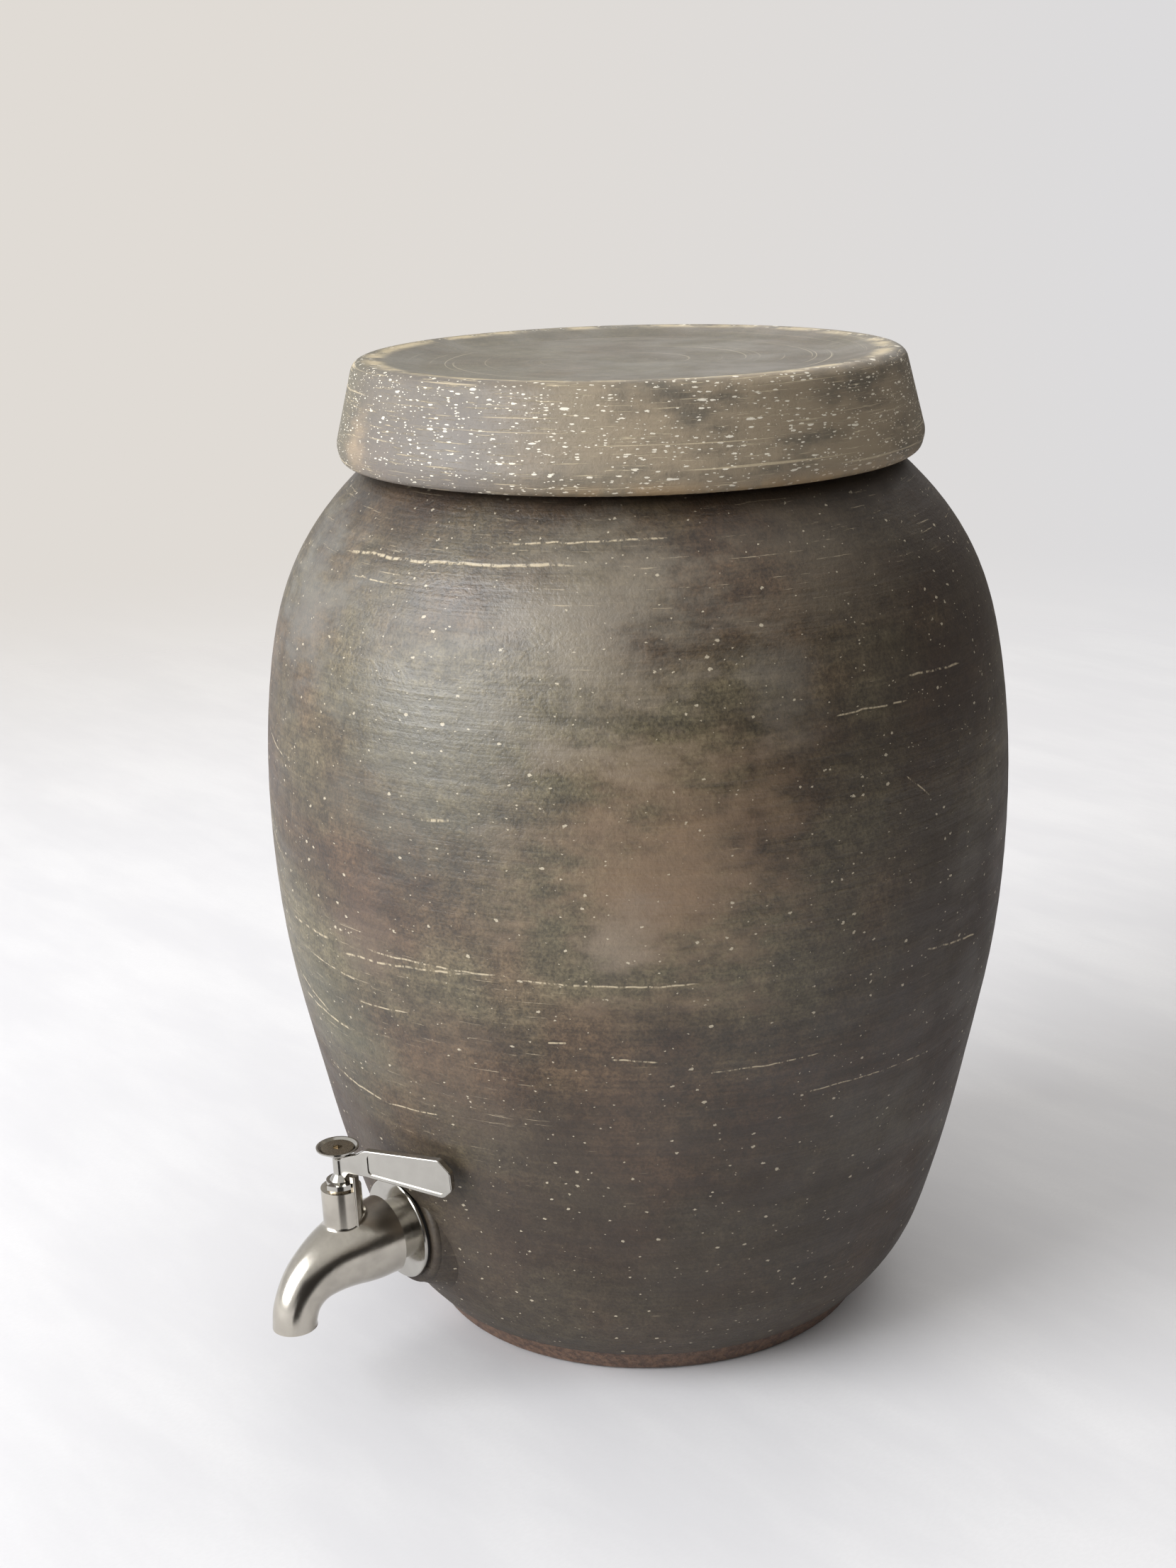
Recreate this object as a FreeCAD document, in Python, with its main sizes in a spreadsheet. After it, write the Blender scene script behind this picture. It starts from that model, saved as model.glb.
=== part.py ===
import FreeCAD, Part
import math
import os
import Sketcher

doc = FreeCAD.newDocument("ClayWaterPot")
V = FreeCAD.Vector

# Driving sizes, in millimetres and degrees
SIZES = [
    # Thrown clay pot: outer radii, each at a rise above the one before it
    ("foot_radius", 78.5),
    ("foot_corner", 2.0),
    ("band_height", 8.8),
    ("band_radius", 83.4),
    ("line_depth", 0.8),
    ("line_width", 1.4),
    ("line_radius", 85.8),
    ("foot_slope", 0.91),
    ("skirt_rise", 14.8),
    ("skirt_radius", 96.8),
    ("flank_rise", 20.0),
    ("flank_radius", 104.7),
    ("hip_rise", 25.0),
    ("hip_radius", 111.6),
    ("waist_rise", 30.0),
    ("waist_radius", 118.3),
    ("swell_rise", 35.0),
    ("swell_radius", 125.3),
    ("belly_low_rise", 35.0),
    ("belly_low_radius", 128.9),
    ("belly_high_rise", 35.0),
    ("belly_high_radius", 129.2),
    ("upper_rise", 35.0),
    ("upper_radius", 125.7),
    ("crown_rise", 30.0),
    ("crown_radius", 117.3),
    ("shoulder_rise", 20.0),
    ("shoulder_radius", 104.9),
    ("throat_rise", 10.0),
    ("throat_radius", 95.8),
    ("collar_rise", 8.0),
    ("collar_radius", 87.4),
    ("neck_rise", 23.0),
    ("neck_taper", 1.4),
    ("rim_round", 2.5),
    ("wall", 8.0),
    ("floor", 10.0),
    # Lid
    ("lid_gap", 0.75),
    ("lid_lap", 1.0),
    ("lid_side", 8.6),
    ("lid_top", 8.5),
    ("lid_lean", 5.4),
    ("lid_ridge", 10.0),
    ("lid_dish", 2.4),
    ("lid_low_round", 3.2),
    ("lid_top_round", 4.5),
    ("lid_corner_round", 1.6),
    # Place of the tap on the pot
    ("tap_height", 51.9),
    ("tap_tilt", 1.5),
    ("tap_stand", 4.8),
    # Clay seat for the tap
    ("seat_margin", 3.2),
    ("seat_round", 2.0),
    ("seat_flare", 11.0),
    ("seat_depth", 17.0),
    ("seat_thickness", 9.6),
    ("inner_seat_radius", 16.5),
    ("hole_clearance", 0.6),
    # Flange plate, gaskets, washer and nut on the threaded shank
    ("plate_radius", 17.5),
    ("plate_thickness", 1.0),
    ("plate_bevel", 0.3),
    ("gasket_inset", 0.9),
    ("gasket_thickness", 1.5),
    ("inner_gasket_radius", 14.5),
    ("inner_gasket_thickness", 2.0),
    ("washer_radius", 13.5),
    ("washer_thickness", 1.5),
    ("shank_radius", 8.0),
    ("shank_end", 30.0),
    ("shank_clearance", 0.05),
    ("nut_flats", 24.0),
    ("nut_thickness", 6.5),
    # Cast tap body
    ("collar_ring", 10.5),
    ("tube_stand", 5.1),
    ("tube_radius", 13.6),
    ("spout_straight", 15.5),
    ("bend_one_radius", 38.0),
    ("bend_one_angle", 27.0),
    ("bend_two_radius", 18.0),
    ("bend_two_angle", 63.0),
    ("taper_start", 5.0),
    ("taper_end", 44.0),
    ("outlet_radius", 7.6),
    ("outlet_wall", 1.6),
    ("inlet_bore", 4.5),
    ("inlet_depth", 13.5),
    ("hollow_start", 27.0),
    ("hollow_radius", 5.0),
    # Valve neck
    ("neck_reach", 20.3),
    ("neck_radius", 6.85),
    ("neck_top", 23.6),
    ("neck_fillet", 1.8),
    ("valve_bore", 5.0),
    ("valve_floor", 8.4),
    # Stop lug on the neck
    ("lug_width", 2.9),
    ("lug_depth", 2.25),
    ("lug_rise", 5.3),
    ("lug_angle", 17.0),
    ("stop_tooth", 17.0),
    ("disc_notch", 117.0),
    # Valve plug and its seals
    ("sleeve_wall", 0.8),
    ("plug_clearance", 0.05),
    ("plug_top", 8.3),
    ("port_radius", 2.05),
    ("stem_shoulder", 8.2),
    ("stem_clearance", 0.1),
    ("stem_radius", 3.2),
    ("seal_cord", 0.85),
    ("seal_groove", 1.9),
    ("seal_land", 1.3),
    ("thrust_thickness", 1.0),
    ("gland_stand", 0.8),
    ("square_width", 3.8),
    ("square_length", 2.0),
    ("end_play", 0.1),
    # Lever handle
    ("lever_turn", 115.0),
    ("handle_lift", 0.4),
    ("disc_radius", 6.5),
    ("disc_thickness", 1.7),
    ("disc_flare", 2.0),
    ("post_radius", 2.05),
    ("cup_radius", 7.2),
    ("cup_rise", 13.7),
    ("cup_rim", 0.6),
    ("cup_flare", 3.4),
    ("cup_dish", 0.45),
    ("head_radius", 5.5),
    ("head_thickness", 0.4),
    ("head_depth", 2.2),
    ("screw_radius", 1.25),
    ("screw_clearance", 0.1),
    ("screw_length", 17.0),
    ("hex_flats", 3.0),
    ("hex_depth", 1.5),
    ("blade_thickness", 2.6),
    ("blade_root", 11.3),
    ("root_low_rise", 4.7),
    ("root_high_rise", 14.4),
    ("blade_end", 44.0),
    ("end_low_rise", 2.5),
    ("end_high_rise", 16.0),
    ("blade_bevel", 4.6),
    ("blade_low_round", 4.0),
    ("blade_round", 1.6),
    ("blade_edge", 0.4),
    ("panel_rim", 1.2),
    ("panel_depth", 0.4),
]

# Sizes that follow from the driving ones
FOLLOWING = [
    ("skirt_height", "band_height + line_width + skirt_rise"),
    ("flank_height", "skirt_height + flank_rise"),
    ("hip_height", "flank_height + hip_rise"),
    ("waist_height", "hip_height + waist_rise"),
    ("swell_height", "waist_height + swell_rise"),
    ("belly_low_height", "swell_height + belly_low_rise"),
    ("belly_high_height", "belly_low_height + belly_high_rise"),
    ("upper_height", "belly_high_height + upper_rise"),
    ("crown_height", "upper_height + crown_rise"),
    ("shoulder_height", "crown_height + shoulder_rise"),
    ("throat_height", "shoulder_height + throat_rise"),
    ("collar_height", "throat_height + collar_rise"),
    ("rim_height", "collar_height + neck_rise"),
    ("rim_radius", "collar_radius - neck_taper"),
    # The lid clears the clay where its skirt ends, a little below the collar
    ("lid_low", "collar_height - lid_lap"),
    ("lid_inner", "collar_radius + (throat_radius - collar_radius) * lid_lap / collar_rise + lid_gap"),
    ("gasket_radius", "plate_radius - gasket_inset"),
    # The stop lug and the whole lever stand on the valve's neck
    ("lug_top", "neck_top + lug_rise"),
    ("handle_low", "neck_top + gland_stand + handle_lift"),
    ("cup_top", "handle_low + cup_rise"),
    ("blade_root_low", "handle_low + root_low_rise"),
    ("blade_root_high", "handle_low + root_high_rise"),
    ("blade_end_low", "handle_low + end_low_rise"),
    ("blade_end_high", "handle_low + end_high_rise"),
]

sheet = doc.addObject("Spreadsheet::Sheet", "Sizes")
for row, (name, value) in enumerate(SIZES, start=1):
    sheet.set("A%d" % row, name)
    sheet.set("B%d" % row, str(value))
    sheet.setAlias("B%d" % row, name)
doc.recompute()
for row, (name, formula) in enumerate(FOLLOWING, start=len(SIZES) + 1):
    sheet.set("A%d" % row, name)
    sheet.set("B%d" % row, "=" + formula)
    sheet.setAlias("B%d" % row, name)
    doc.recompute()


def size(name):
    """Value of a named size."""
    return float(sheet.get(name))


def expr(text):
    """Expression in which every known size name points at the sheet."""
    out = []
    word = ""
    for ch in text + " ":
        if ch.isalnum() or ch == "_":
            word += ch
            continue
        out.append("Sizes." + word if word in NAMES else word)
        out.append(ch)
        word = ""
    return "".join(out).strip()


NAMES = {name for name, value in SIZES + FOLLOWING}

# Clay's outer radius at each named height
POT_POINTS = [
    (size("skirt_radius"), size("skirt_height")),
    (size("flank_radius"), size("flank_height")),
    (size("hip_radius"), size("hip_height")),
    (size("waist_radius"), size("waist_height")),
    (size("swell_radius"), size("swell_height")),
    (size("belly_low_radius"), size("belly_low_height")),
    (size("belly_high_radius"), size("belly_high_height")),
    (size("upper_radius"), size("upper_height")),
    (size("crown_radius"), size("crown_height")),
    (size("shoulder_radius"), size("shoulder_height")),
    (size("throat_radius"), size("throat_height")),
    (size("collar_radius"), size("collar_height")),
]


def spline(points, low_slope, high_slope):
    """Smooth curve through (radius, height) points in the XZ plane that climbs steadily."""
    curve = Part.BSplineCurve()
    curve.interpolate(
        Points=[V(r, 0, z) for r, z in points], Parameters=[z for r, z in points],
        InitialTangent=V(low_slope, 0, 1), FinalTangent=V(high_slope, 0, 1), Scale=False)
    return curve


# Outer outline of the clay from the foot band to the corner where the shoulder meets the collar
band_top = (size("band_radius"), size("band_height"))
line_top = (size("line_radius"), size("band_height") + size("line_width"))
THROAT_SLOPE = (size("collar_radius") - size("throat_radius")) / (size("collar_height") - size("throat_height"))
outline = spline([line_top] + POT_POINTS, size("foot_slope"), THROAT_SLOPE)
heights = [outline.value(outline.FirstParameter + (outline.LastParameter - outline.FirstParameter) * i / 200).z
           for i in range(201)]
if any(high <= low for low, high in zip(heights, heights[1:])):
    raise RuntimeError("the pot's outline folds back on itself")


def clay_radius(height):
    """Outer radius of the clay at one height."""
    low, high = outline.FirstParameter, outline.LastParameter
    for step in range(60):
        middle = (low + high) / 2
        if outline.value(middle).z < height:
            low = middle
        else:
            high = middle
    return outline.value((low + high) / 2).x


# Distance of the flange plate's outer face from the pot's axis, set by the clay's radius there
sheet_rows = len(SIZES) + len(FOLLOWING)
tap_reach = clay_radius(size("tap_height")) + size("tap_stand")
print("tap_reach %.4f" % tap_reach)
sheet.set("A%d" % (sheet_rows + 1), "tap_reach")
sheet.set("B%d" % (sheet_rows + 1), "%.4f" % tap_reach)
sheet.setAlias("B%d" % (sheet_rows + 1), "tap_reach")
NAMES.add("tap_reach")
doc.recompute()

# Frames: the tap's frame has its origin on the flange plate's outer face, its -Y along the tap
# and its +Z up the valve neck; the handle's frame turns about the neck's axis, lever along its +X
TAP = "placement(vector(0; -tap_reach; tap_height); rotationx(tap_tilt))"
NECK = TAP + " * placement(vector(0; -neck_reach; 0); rotationz(0))"
HANDLE = TAP + " * placement(vector(0; -neck_reach; 0); rotationz(lever_turn - 90))"


def along_tap(offset):
    """Tap frame moved outward along the tap by an expression."""
    return TAP + " * placement(vector(0; -(" + offset + "); 0); rotationz(0))"


def bind(obj, **values):
    """Bind properties of an object to expressions of the named sizes."""
    for prop, text in values.items():
        obj.setExpression(prop.replace("__", "."), expr(text))


def plane(body, role):
    for feature in body.Origin.OriginFeatures:
        if feature.Role == role:
            return feature


def new_body(name, label, placement):
    body = doc.addObject("PartDesign::Body", name)
    body.Label = label
    body.setExpression("Placement", expr(placement))
    return body


def new_sketch(body, name, role, offset=None):
    """Sketch on one of the body's origin planes, moved along its normal."""
    sketch = body.newObject("Sketcher::SketchObject", name)
    sketch.AttachmentSupport = [(plane(body, role), "")]
    sketch.MapMode = "FlatFace"
    if offset is not None:
        sketch.setExpression("AttachmentOffset.Base.z", expr(offset))
    return sketch


def evaluate(text):
    """Number that an expression of the named sizes gives."""
    return float(sheet.evalExpression(expr(text)))


def pin(sketch, geometry, point, x_text, y_text):
    """Hold a sketch point at two expressions, measured from the sketch's origin."""
    for kind, text in (("DistanceX", x_text), ("DistanceY", y_text)):
        number = sketch.addConstraint(
            Sketcher.Constraint(kind, -1, 1, geometry, point, evaluate(text)))
        sketch.setExpression("Constraints[%d]" % number, expr(text))


def outline_sketch(body, name, role, points, offset=None):
    """Closed outline of straight lines, every corner held by expressions."""
    sketch = new_sketch(body, name, role, offset)
    corners = [V(evaluate(x), evaluate(y), 0) for x, y in points]
    count = len(corners)
    for i in range(count):
        sketch.addGeometry(Part.LineSegment(corners[i], corners[(i + 1) % count]), False)
    for i in range(count):
        sketch.addConstraint(Sketcher.Constraint("Coincident", i, 2, (i + 1) % count, 1))
    for i in range(count):
        pin(sketch, i, 1, points[i][0], points[i][1])
    return sketch


def circles_sketch(body, name, role, radii, offset=None, centre=("0", "0")):
    """Concentric circles with bound radii."""
    sketch = new_sketch(body, name, role, offset)
    for radius in radii:
        number = sketch.addGeometry(
            Part.Circle(V(evaluate(centre[0]), evaluate(centre[1]), 0), V(0, 0, 1), evaluate(radius)), False)
        if centre == ("0", "0"):
            sketch.addConstraint(Sketcher.Constraint("Coincident", number, 3, -1, 1))
        else:
            pin(sketch, number, 3, centre[0], centre[1])
        held = sketch.addConstraint(Sketcher.Constraint("Radius", number, evaluate(radius)))
        sketch.setExpression("Constraints[%d]" % held, expr(radius))
    return sketch


def pad(body, name, sketch, length, reverse=False):
    feature = body.newObject("PartDesign::Pad", name)
    feature.Profile = sketch
    feature.setExpression("Length", expr(length))
    feature.Reversed = reverse
    sketch.Visibility = False
    return feature


def pocket(body, name, sketch, length, reverse=False):
    feature = body.newObject("PartDesign::Pocket", name)
    feature.Profile = sketch
    feature.setExpression("Length", expr(length))
    feature.Reversed = reverse
    return feature


def turned(body, name, sketch, axis="V_Axis"):
    feature = body.newObject("PartDesign::Revolution", name)
    feature.Profile = sketch
    feature.ReferenceAxis = (sketch, [axis])
    feature.Angle = 360
    return feature


def edges_where(feature, test):
    """Names of the edges of a feature's shape that pass a test."""
    doc.recompute()
    return ["Edge%d" % (i + 1) for i, edge in enumerate(feature.Shape.Edges) if test(edge)]


def rounded(body, name, feature, test, radius, kind="PartDesign::Fillet"):
    names = edges_where(feature, test)
    rounding = body.newObject(kind, name)
    rounding.Base = (feature, names)
    rounding.setExpression("Radius" if kind.endswith("Fillet") else "Size", expr(radius))
    return rounding


def circle_edge(edge, radius, height=None, axis="z"):
    """True for a round edge of one radius, and at one height where that is given."""
    curve = edge.Curve
    if not isinstance(curve, Part.Circle) or abs(curve.Radius - radius) > 1e-4:
        return False
    return height is None or abs(getattr(curve.Center, axis) - height) < 1e-4


# Clay pot: foot, band, incised line, belly, shoulder, neck and rim, one wall thick
def lower_outline():
    """Flat base, its rounded corner and the incised line above the foot band."""
    corner = size("foot_corner")
    lean = math.atan2(size("band_radius") - size("foot_radius"), size("band_height"))
    a = V(size("foot_radius") - corner, 0, 0)
    b = V(size("foot_radius") + corner * math.sin(lean), 0, corner * math.cos(lean))
    # The arc touches the base and the foot band, so nothing lies below the base
    turn = corner * math.tan((math.pi / 2 + lean) / 2)
    centre = V(a.x, 0, turn)
    toward = (V(size("foot_radius"), 0, 0) - centre).normalize()
    middle = centre + toward * turn
    c = V(band_top[0], 0, band_top[1])
    d = V(band_top[0] - size("line_depth") * 0.6, 0, band_top[1] + size("line_width") / 2)
    e = V(line_top[0], 0, line_top[1])
    return [
        Part.LineSegment(V(0, 0, 0), a).toShape(),
        Part.Arc(a, middle, b).toShape(),
        Part.LineSegment(b, c).toShape(),
        Part.LineSegment(c, d).toShape(),
        Part.LineSegment(d, e).toShape(),
    ]


def pot_shell():
    """Revolved clay wall with its floor and rim, and the space that it holds."""
    wall = size("wall")
    rim_r, rim_z = size("rim_radius"), size("rim_height")
    turn = size("rim_round")
    neck_low = outline.value(outline.LastParameter)
    rim_out = V(rim_r, 0, rim_z - turn)
    rim_mid = V(rim_r - turn * 0.293, 0, rim_z - turn * 0.293)
    rim_top = V(rim_r - turn, 0, rim_z)
    in_top = V(rim_r - wall + turn, 0, rim_z)
    in_mid = V(rim_r - wall + turn * 0.293, 0, rim_z - turn * 0.293)
    in_out = V(rim_r - wall, 0, rim_z - turn)
    # Inner wall: the outline moved in along its normal by the wall's thickness
    first, last = outline.FirstParameter, outline.LastParameter
    inner = []
    steps = 13
    for i in range(steps + 1):
        t = first + (last - first) * i / steps
        p = outline.value(t)
        d = outline.tangent(t)[0]
        q = p + V(-d.z, 0, d.x) * wall
        if q.z > size("floor") + 10:
            inner.append((q.x, q.z))
    floor_z = size("floor")
    neck_in = inner[-1]
    low = V(inner[0][0], 0, inner[0][1])
    low_slope = (inner[1][0] - inner[0][0]) / (inner[1][1] - inner[0][1])
    curve = spline(inner, low_slope, THROAT_SLOPE)
    # Inside corner between the floor and the wall
    corner = V(low.x - (low.z - floor_z) * low_slope, 0, floor_z)
    start = corner - V((low.z - floor_z) * 1.3, 0, 0)
    bend = Part.BezierCurve()
    bend.setPoles([start, corner, low])
    inside = [
        Part.LineSegment(rim_top, in_top).toShape(),
        Part.Arc(in_top, in_mid, in_out).toShape(),
        Part.LineSegment(in_out, V(neck_in[0], 0, neck_in[1])).toShape(),
        curve.toShape(),
        bend.toShape(),
        Part.LineSegment(start, V(0, 0, floor_z)).toShape(),
    ]
    edges = lower_outline() + inside + [
        outline.toShape(),
        Part.LineSegment(neck_low, rim_out).toShape(),
        Part.Arc(rim_out, rim_mid, rim_top).toShape(),
        Part.LineSegment(V(0, 0, floor_z), V(0, 0, 0)).toShape(),
    ]
    hollow = inside[1:] + [
        Part.LineSegment(V(0, 0, floor_z), V(0, 0, rim_z)).toShape(),
        Part.LineSegment(V(0, 0, rim_z), in_top).toShape(),
    ]
    solids = []
    for group in (edges, hollow):
        wire = Part.Wire(Part.__sortEdges__(group))
        solids.append(Part.Face(wire).revolve(V(0, 0, 0), V(0, 0, 1), 360))
    return solids


def tap_seat():
    """Raised clay seat with a hollow flare into the wall, outward along -Y (tap frame)."""
    face = -(size("plate_thickness") + size("gasket_thickness"))
    radius = size("plate_radius") + size("seat_margin")
    turn = size("seat_round")
    back_depth = face - turn - size("seat_depth")
    # Points are (radius, 0, distance along the tap)
    top = V(0, 0, face)
    flat = V(radius - turn, 0, face)
    tip = V(radius - turn * 0.293, 0, face - turn * 0.293)
    side = V(radius, 0, face - turn)
    foot = V(radius + size("seat_flare"), 0, back_depth)
    back = V(0, 0, back_depth)
    # The side widens into the wall as pressed clay does
    flank = Part.BezierCurve()
    flank.setPoles([side, V(radius + turn / 2, 0, face - turn * 2), foot])
    edges = [
        Part.LineSegment(top, flat).toShape(),
        Part.Arc(flat, tip, side).toShape(),
        flank.toShape(),
        Part.LineSegment(foot, back).toShape(),
        Part.LineSegment(back, top).toShape(),
    ]
    wire = Part.Wire(Part.__sortEdges__(edges))
    solid = Part.Face(wire).revolve(V(0, 0, 0), V(0, 0, 1), 360)
    solid.rotate(V(0, 0, 0), V(1, 0, 0), 90)
    return solid


TAP_PLACE = FreeCAD.Placement(
    V(0, -tap_reach, size("tap_height")), FreeCAD.Rotation(V(1, 0, 0), size("tap_tilt")))

shell_shape, hollow_shape = pot_shell()
shell = doc.addObject("Part::Feature", "PotShell")
shell.Shape = shell_shape
hollow = doc.addObject("Part::Feature", "WaterSpace")
hollow.Shape = hollow_shape
flare = doc.addObject("Part::Feature", "TapSeat")
flare.Shape = tap_seat()
flare.Placement = TAP_PLACE.multiply(flare.Placement)


def cylinder(name, radius, length, placement):
    """Cylinder along +Z of its placement, with bound sizes."""
    obj = doc.addObject("Part::Cylinder", name)
    bind(obj, Radius=radius, Height=length)
    obj.setExpression("Placement", expr(placement))
    return obj


def cut(name, base, tool):
    obj = doc.addObject("Part::Cut", name)
    obj.Base = base
    obj.Tool = tool
    return obj


def fuse(name, *shapes):
    obj = doc.addObject("Part::MultiFuse", name)
    obj.Shapes = list(shapes)
    return obj


def outward(offset):
    """Frame with +Z along the tap, from an offset off the flange plate's outer face."""
    return TAP + " * placement(vector(0; -(" + offset + "); 0); rotationx(90))"


SEAT_FACE = "(0 - plate_thickness - gasket_thickness)"
SEAT_BACK = "(0 - plate_thickness - gasket_thickness - seat_thickness)"
flare_outside = cut("SeatOutside", flare, hollow)
inner_seat = cylinder("InnerSeat", "inner_seat_radius + 1.5", "seat_thickness", outward(SEAT_BACK))
clay = fuse("Clay", shell, flare_outside, inner_seat)
plate_recess = cylinder("PlateRecess", "plate_radius + 0.4", "12", outward(SEAT_FACE))
nut_recess = cylinder("NutRecess", "inner_seat_radius", "14", outward(SEAT_BACK + " - 14"))
shank_hole = cylinder(
    "ShankHole", "shank_radius + hole_clearance", "60", outward("0 - 50"))
pot = cut("PotBody", clay, fuse("ClayCuts", plate_recess, nut_recess, shank_hole))
pot.Label = "pot_body"

# Lid: a thrown cap whose skirt hangs over the neck
LID_EDGE = "lid_low"
LID_OUT = "(lid_inner + lid_side)"
lid = new_body("Lid", "lid", "placement(vector(0; 0; 0); rotationz(0))")
lid_outline = outline_sketch(lid, "LidOutline", "XZ_Plane", [
    ("0", "rim_height"),
    ("lid_inner", "rim_height"),
    ("lid_inner", LID_EDGE),
    (LID_OUT, LID_EDGE),
    (LID_OUT + " + 1.6", LID_EDGE + " + 6"),
    (LID_OUT + " - lid_lean", "rim_height + lid_top + 1.3"),
    (LID_OUT + " - lid_lean - lid_ridge", "rim_height + lid_top + 0.6"),
    (LID_OUT + " - lid_lean - lid_ridge - 12", "rim_height + lid_top + 0.8 - lid_dish"),
    ("0", "rim_height + lid_top - lid_dish"),
])
lid_turned = turned(lid, "LidTurned", lid_outline)


def lid_edge(text_r, text_z):
    radius, height = evaluate(text_r), evaluate(text_z)
    return lambda edge: circle_edge(edge, radius, height)


step = rounded(lid, "LidTopRound", lid_turned,
               lid_edge(LID_OUT + " - lid_lean", "rim_height + lid_top + 1.3"), "lid_top_round")
step = rounded(lid, "LidLowRound", step, lid_edge(LID_OUT, LID_EDGE), "lid_low_round")
step = rounded(lid, "LidWideRound", step,
               lid_edge(LID_OUT + " + 1.6", LID_EDGE + " + 6"), "lid_low_round * 2.5")
step = rounded(lid, "LidInnerRound", step,
               lid_edge("lid_inner", LID_EDGE), "lid_low_round / 2")
step = rounded(lid, "LidRidgeRound", step,
               lid_edge(LID_OUT + " - lid_lean - lid_ridge", "rim_height + lid_top + 0.6"),
               "lid_ridge * 1.2")
step = rounded(lid, "LidCornerRound", step,
               lid_edge("lid_inner", "rim_height"), "lid_corner_round")


# Rings and washers threaded on the shank
def ring(name, label, outer, inner, thickness, start):
    body = new_body(name, label, along_tap(start))
    sketch = circles_sketch(body, name + "Section", "XZ_Plane", [outer, inner])
    return body, pad(body, name + "Pad", sketch, thickness)


plate, plate_pad = ring("Escutcheon", "escutcheon", "plate_radius", "shank_radius + 0.1",
                        "plate_thickness", "0 - plate_thickness")
rounded(plate, "EscutcheonBevel", plate_pad,
        lambda e: circle_edge(e, size("plate_radius"), -size("plate_thickness"), "y"),
        "plate_bevel", "PartDesign::Chamfer")
ring("OuterGasket", "outer_gasket", "gasket_radius", "shank_radius + shank_clearance",
     "gasket_thickness", SEAT_FACE)
ring("InnerGasket", "inner_gasket", "inner_gasket_radius", "shank_radius + shank_clearance",
     "inner_gasket_thickness", SEAT_BACK + " - inner_gasket_thickness")
WASHER_BACK = SEAT_BACK + " - inner_gasket_thickness - washer_thickness"
ring("BackingWasher", "backing_washer", "washer_radius", "shank_radius + 0.2",
     "washer_thickness", WASHER_BACK)

# Lock nut: a hexagon over its threaded hole, its corners turned off
nut = new_body("LockNut", "lock_nut", along_tap(WASHER_BACK + " - nut_thickness"))
half = "(nut_flats / 2)"
far = "(nut_flats / 1.7320508)"
nut_sketch = outline_sketch(nut, "NutHexagon", "XZ_Plane", [
    (far, "0"), (far + " / 2", half), ("0 - " + far + " / 2", half),
    ("0 - " + far, "0"), ("0 - " + far + " / 2", "0 - " + half), (far + " / 2", "0 - " + half),
])
nut_pad = pad(nut, "NutPad", nut_sketch, "nut_thickness")
nut_hole = circles_sketch(nut, "NutHole", "XZ_Plane", ["shank_radius + shank_clearance"])
doc.recompute()
before = nut_pad.Shape.Volume
nut_bore = pocket(nut, "NutBore", nut_hole, "nut_thickness", True)
doc.recompute()
if nut_bore.Shape.Volume > before - 1:
    nut_bore.Reversed = False
nut_tip = rounded(nut, "NutThreadBevel", nut_bore,
                  lambda e: circle_edge(e, size("shank_radius") + size("shank_clearance")),
                  "0.6", "PartDesign::Chamfer")


# Tap body: a tapered, bent tube on a threaded shank, with the valve's neck on top
def spout_path(distance):
    """Centreline point (distance out, height) and slope after a length of tube."""
    straight = size("spout_straight") - size("tube_stand")
    one, two = math.radians(size("bend_one_angle")), math.radians(size("bend_two_angle"))
    r_one, r_two = size("bend_one_radius"), size("bend_two_radius")
    if distance <= straight:
        return size("tube_stand") + distance, 0.0, 0.0
    turn = (distance - straight) / r_one
    if turn <= one:
        return size("spout_straight") + r_one * math.sin(turn), -r_one * (1 - math.cos(turn)), turn
    end_out = size("spout_straight") + r_one * math.sin(one)
    end_up = -r_one * (1 - math.cos(one))
    turn = one + (distance - straight - r_one * one) / r_two
    out = end_out + r_two * (math.sin(turn) - math.sin(one))
    return out, end_up - r_two * (math.cos(one) - math.cos(turn)), turn


def spout_length():
    arcs = size("bend_one_radius") * math.radians(size("bend_one_angle"))
    arcs += size("bend_two_radius") * math.radians(size("bend_two_angle"))
    return size("spout_straight") - size("tube_stand") + arcs


def spout_radius(distance):
    """Outer radius, easing from the tube's to the outlet's."""
    share = (distance - size("taper_start")) / (size("taper_end") - size("taper_start"))
    share = min(max(share, 0.0), 1.0)
    ease = (1 - math.cos(math.pi * share)) / 2
    return size("tube_radius") + (size("outlet_radius") - size("tube_radius")) * ease


def tube_loft(start, end, radius_at, steps):
    """Solid through round sections along the centreline."""
    wires = []
    for i in range(steps + 1):
        distance = start + (end - start) * i / steps
        out, up, turn = spout_path(distance)
        normal = V(0, -math.cos(turn), -math.sin(turn))
        wires.append(Part.Wire(Part.makeCircle(radius_at(distance), V(0, -out, up), normal)))
    return Part.makeLoft(wires, True, False)


def hollow_radius(distance):
    """Radius of the water's way, widening to one wall short of the outlet."""
    start = size("hollow_start") - size("tube_stand")
    share = min(max((distance - start) / (spout_length() - start), 0.0), 1.0)
    return size("hollow_radius") + (size("outlet_radius") - size("outlet_wall") - size("hollow_radius")) * share


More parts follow.
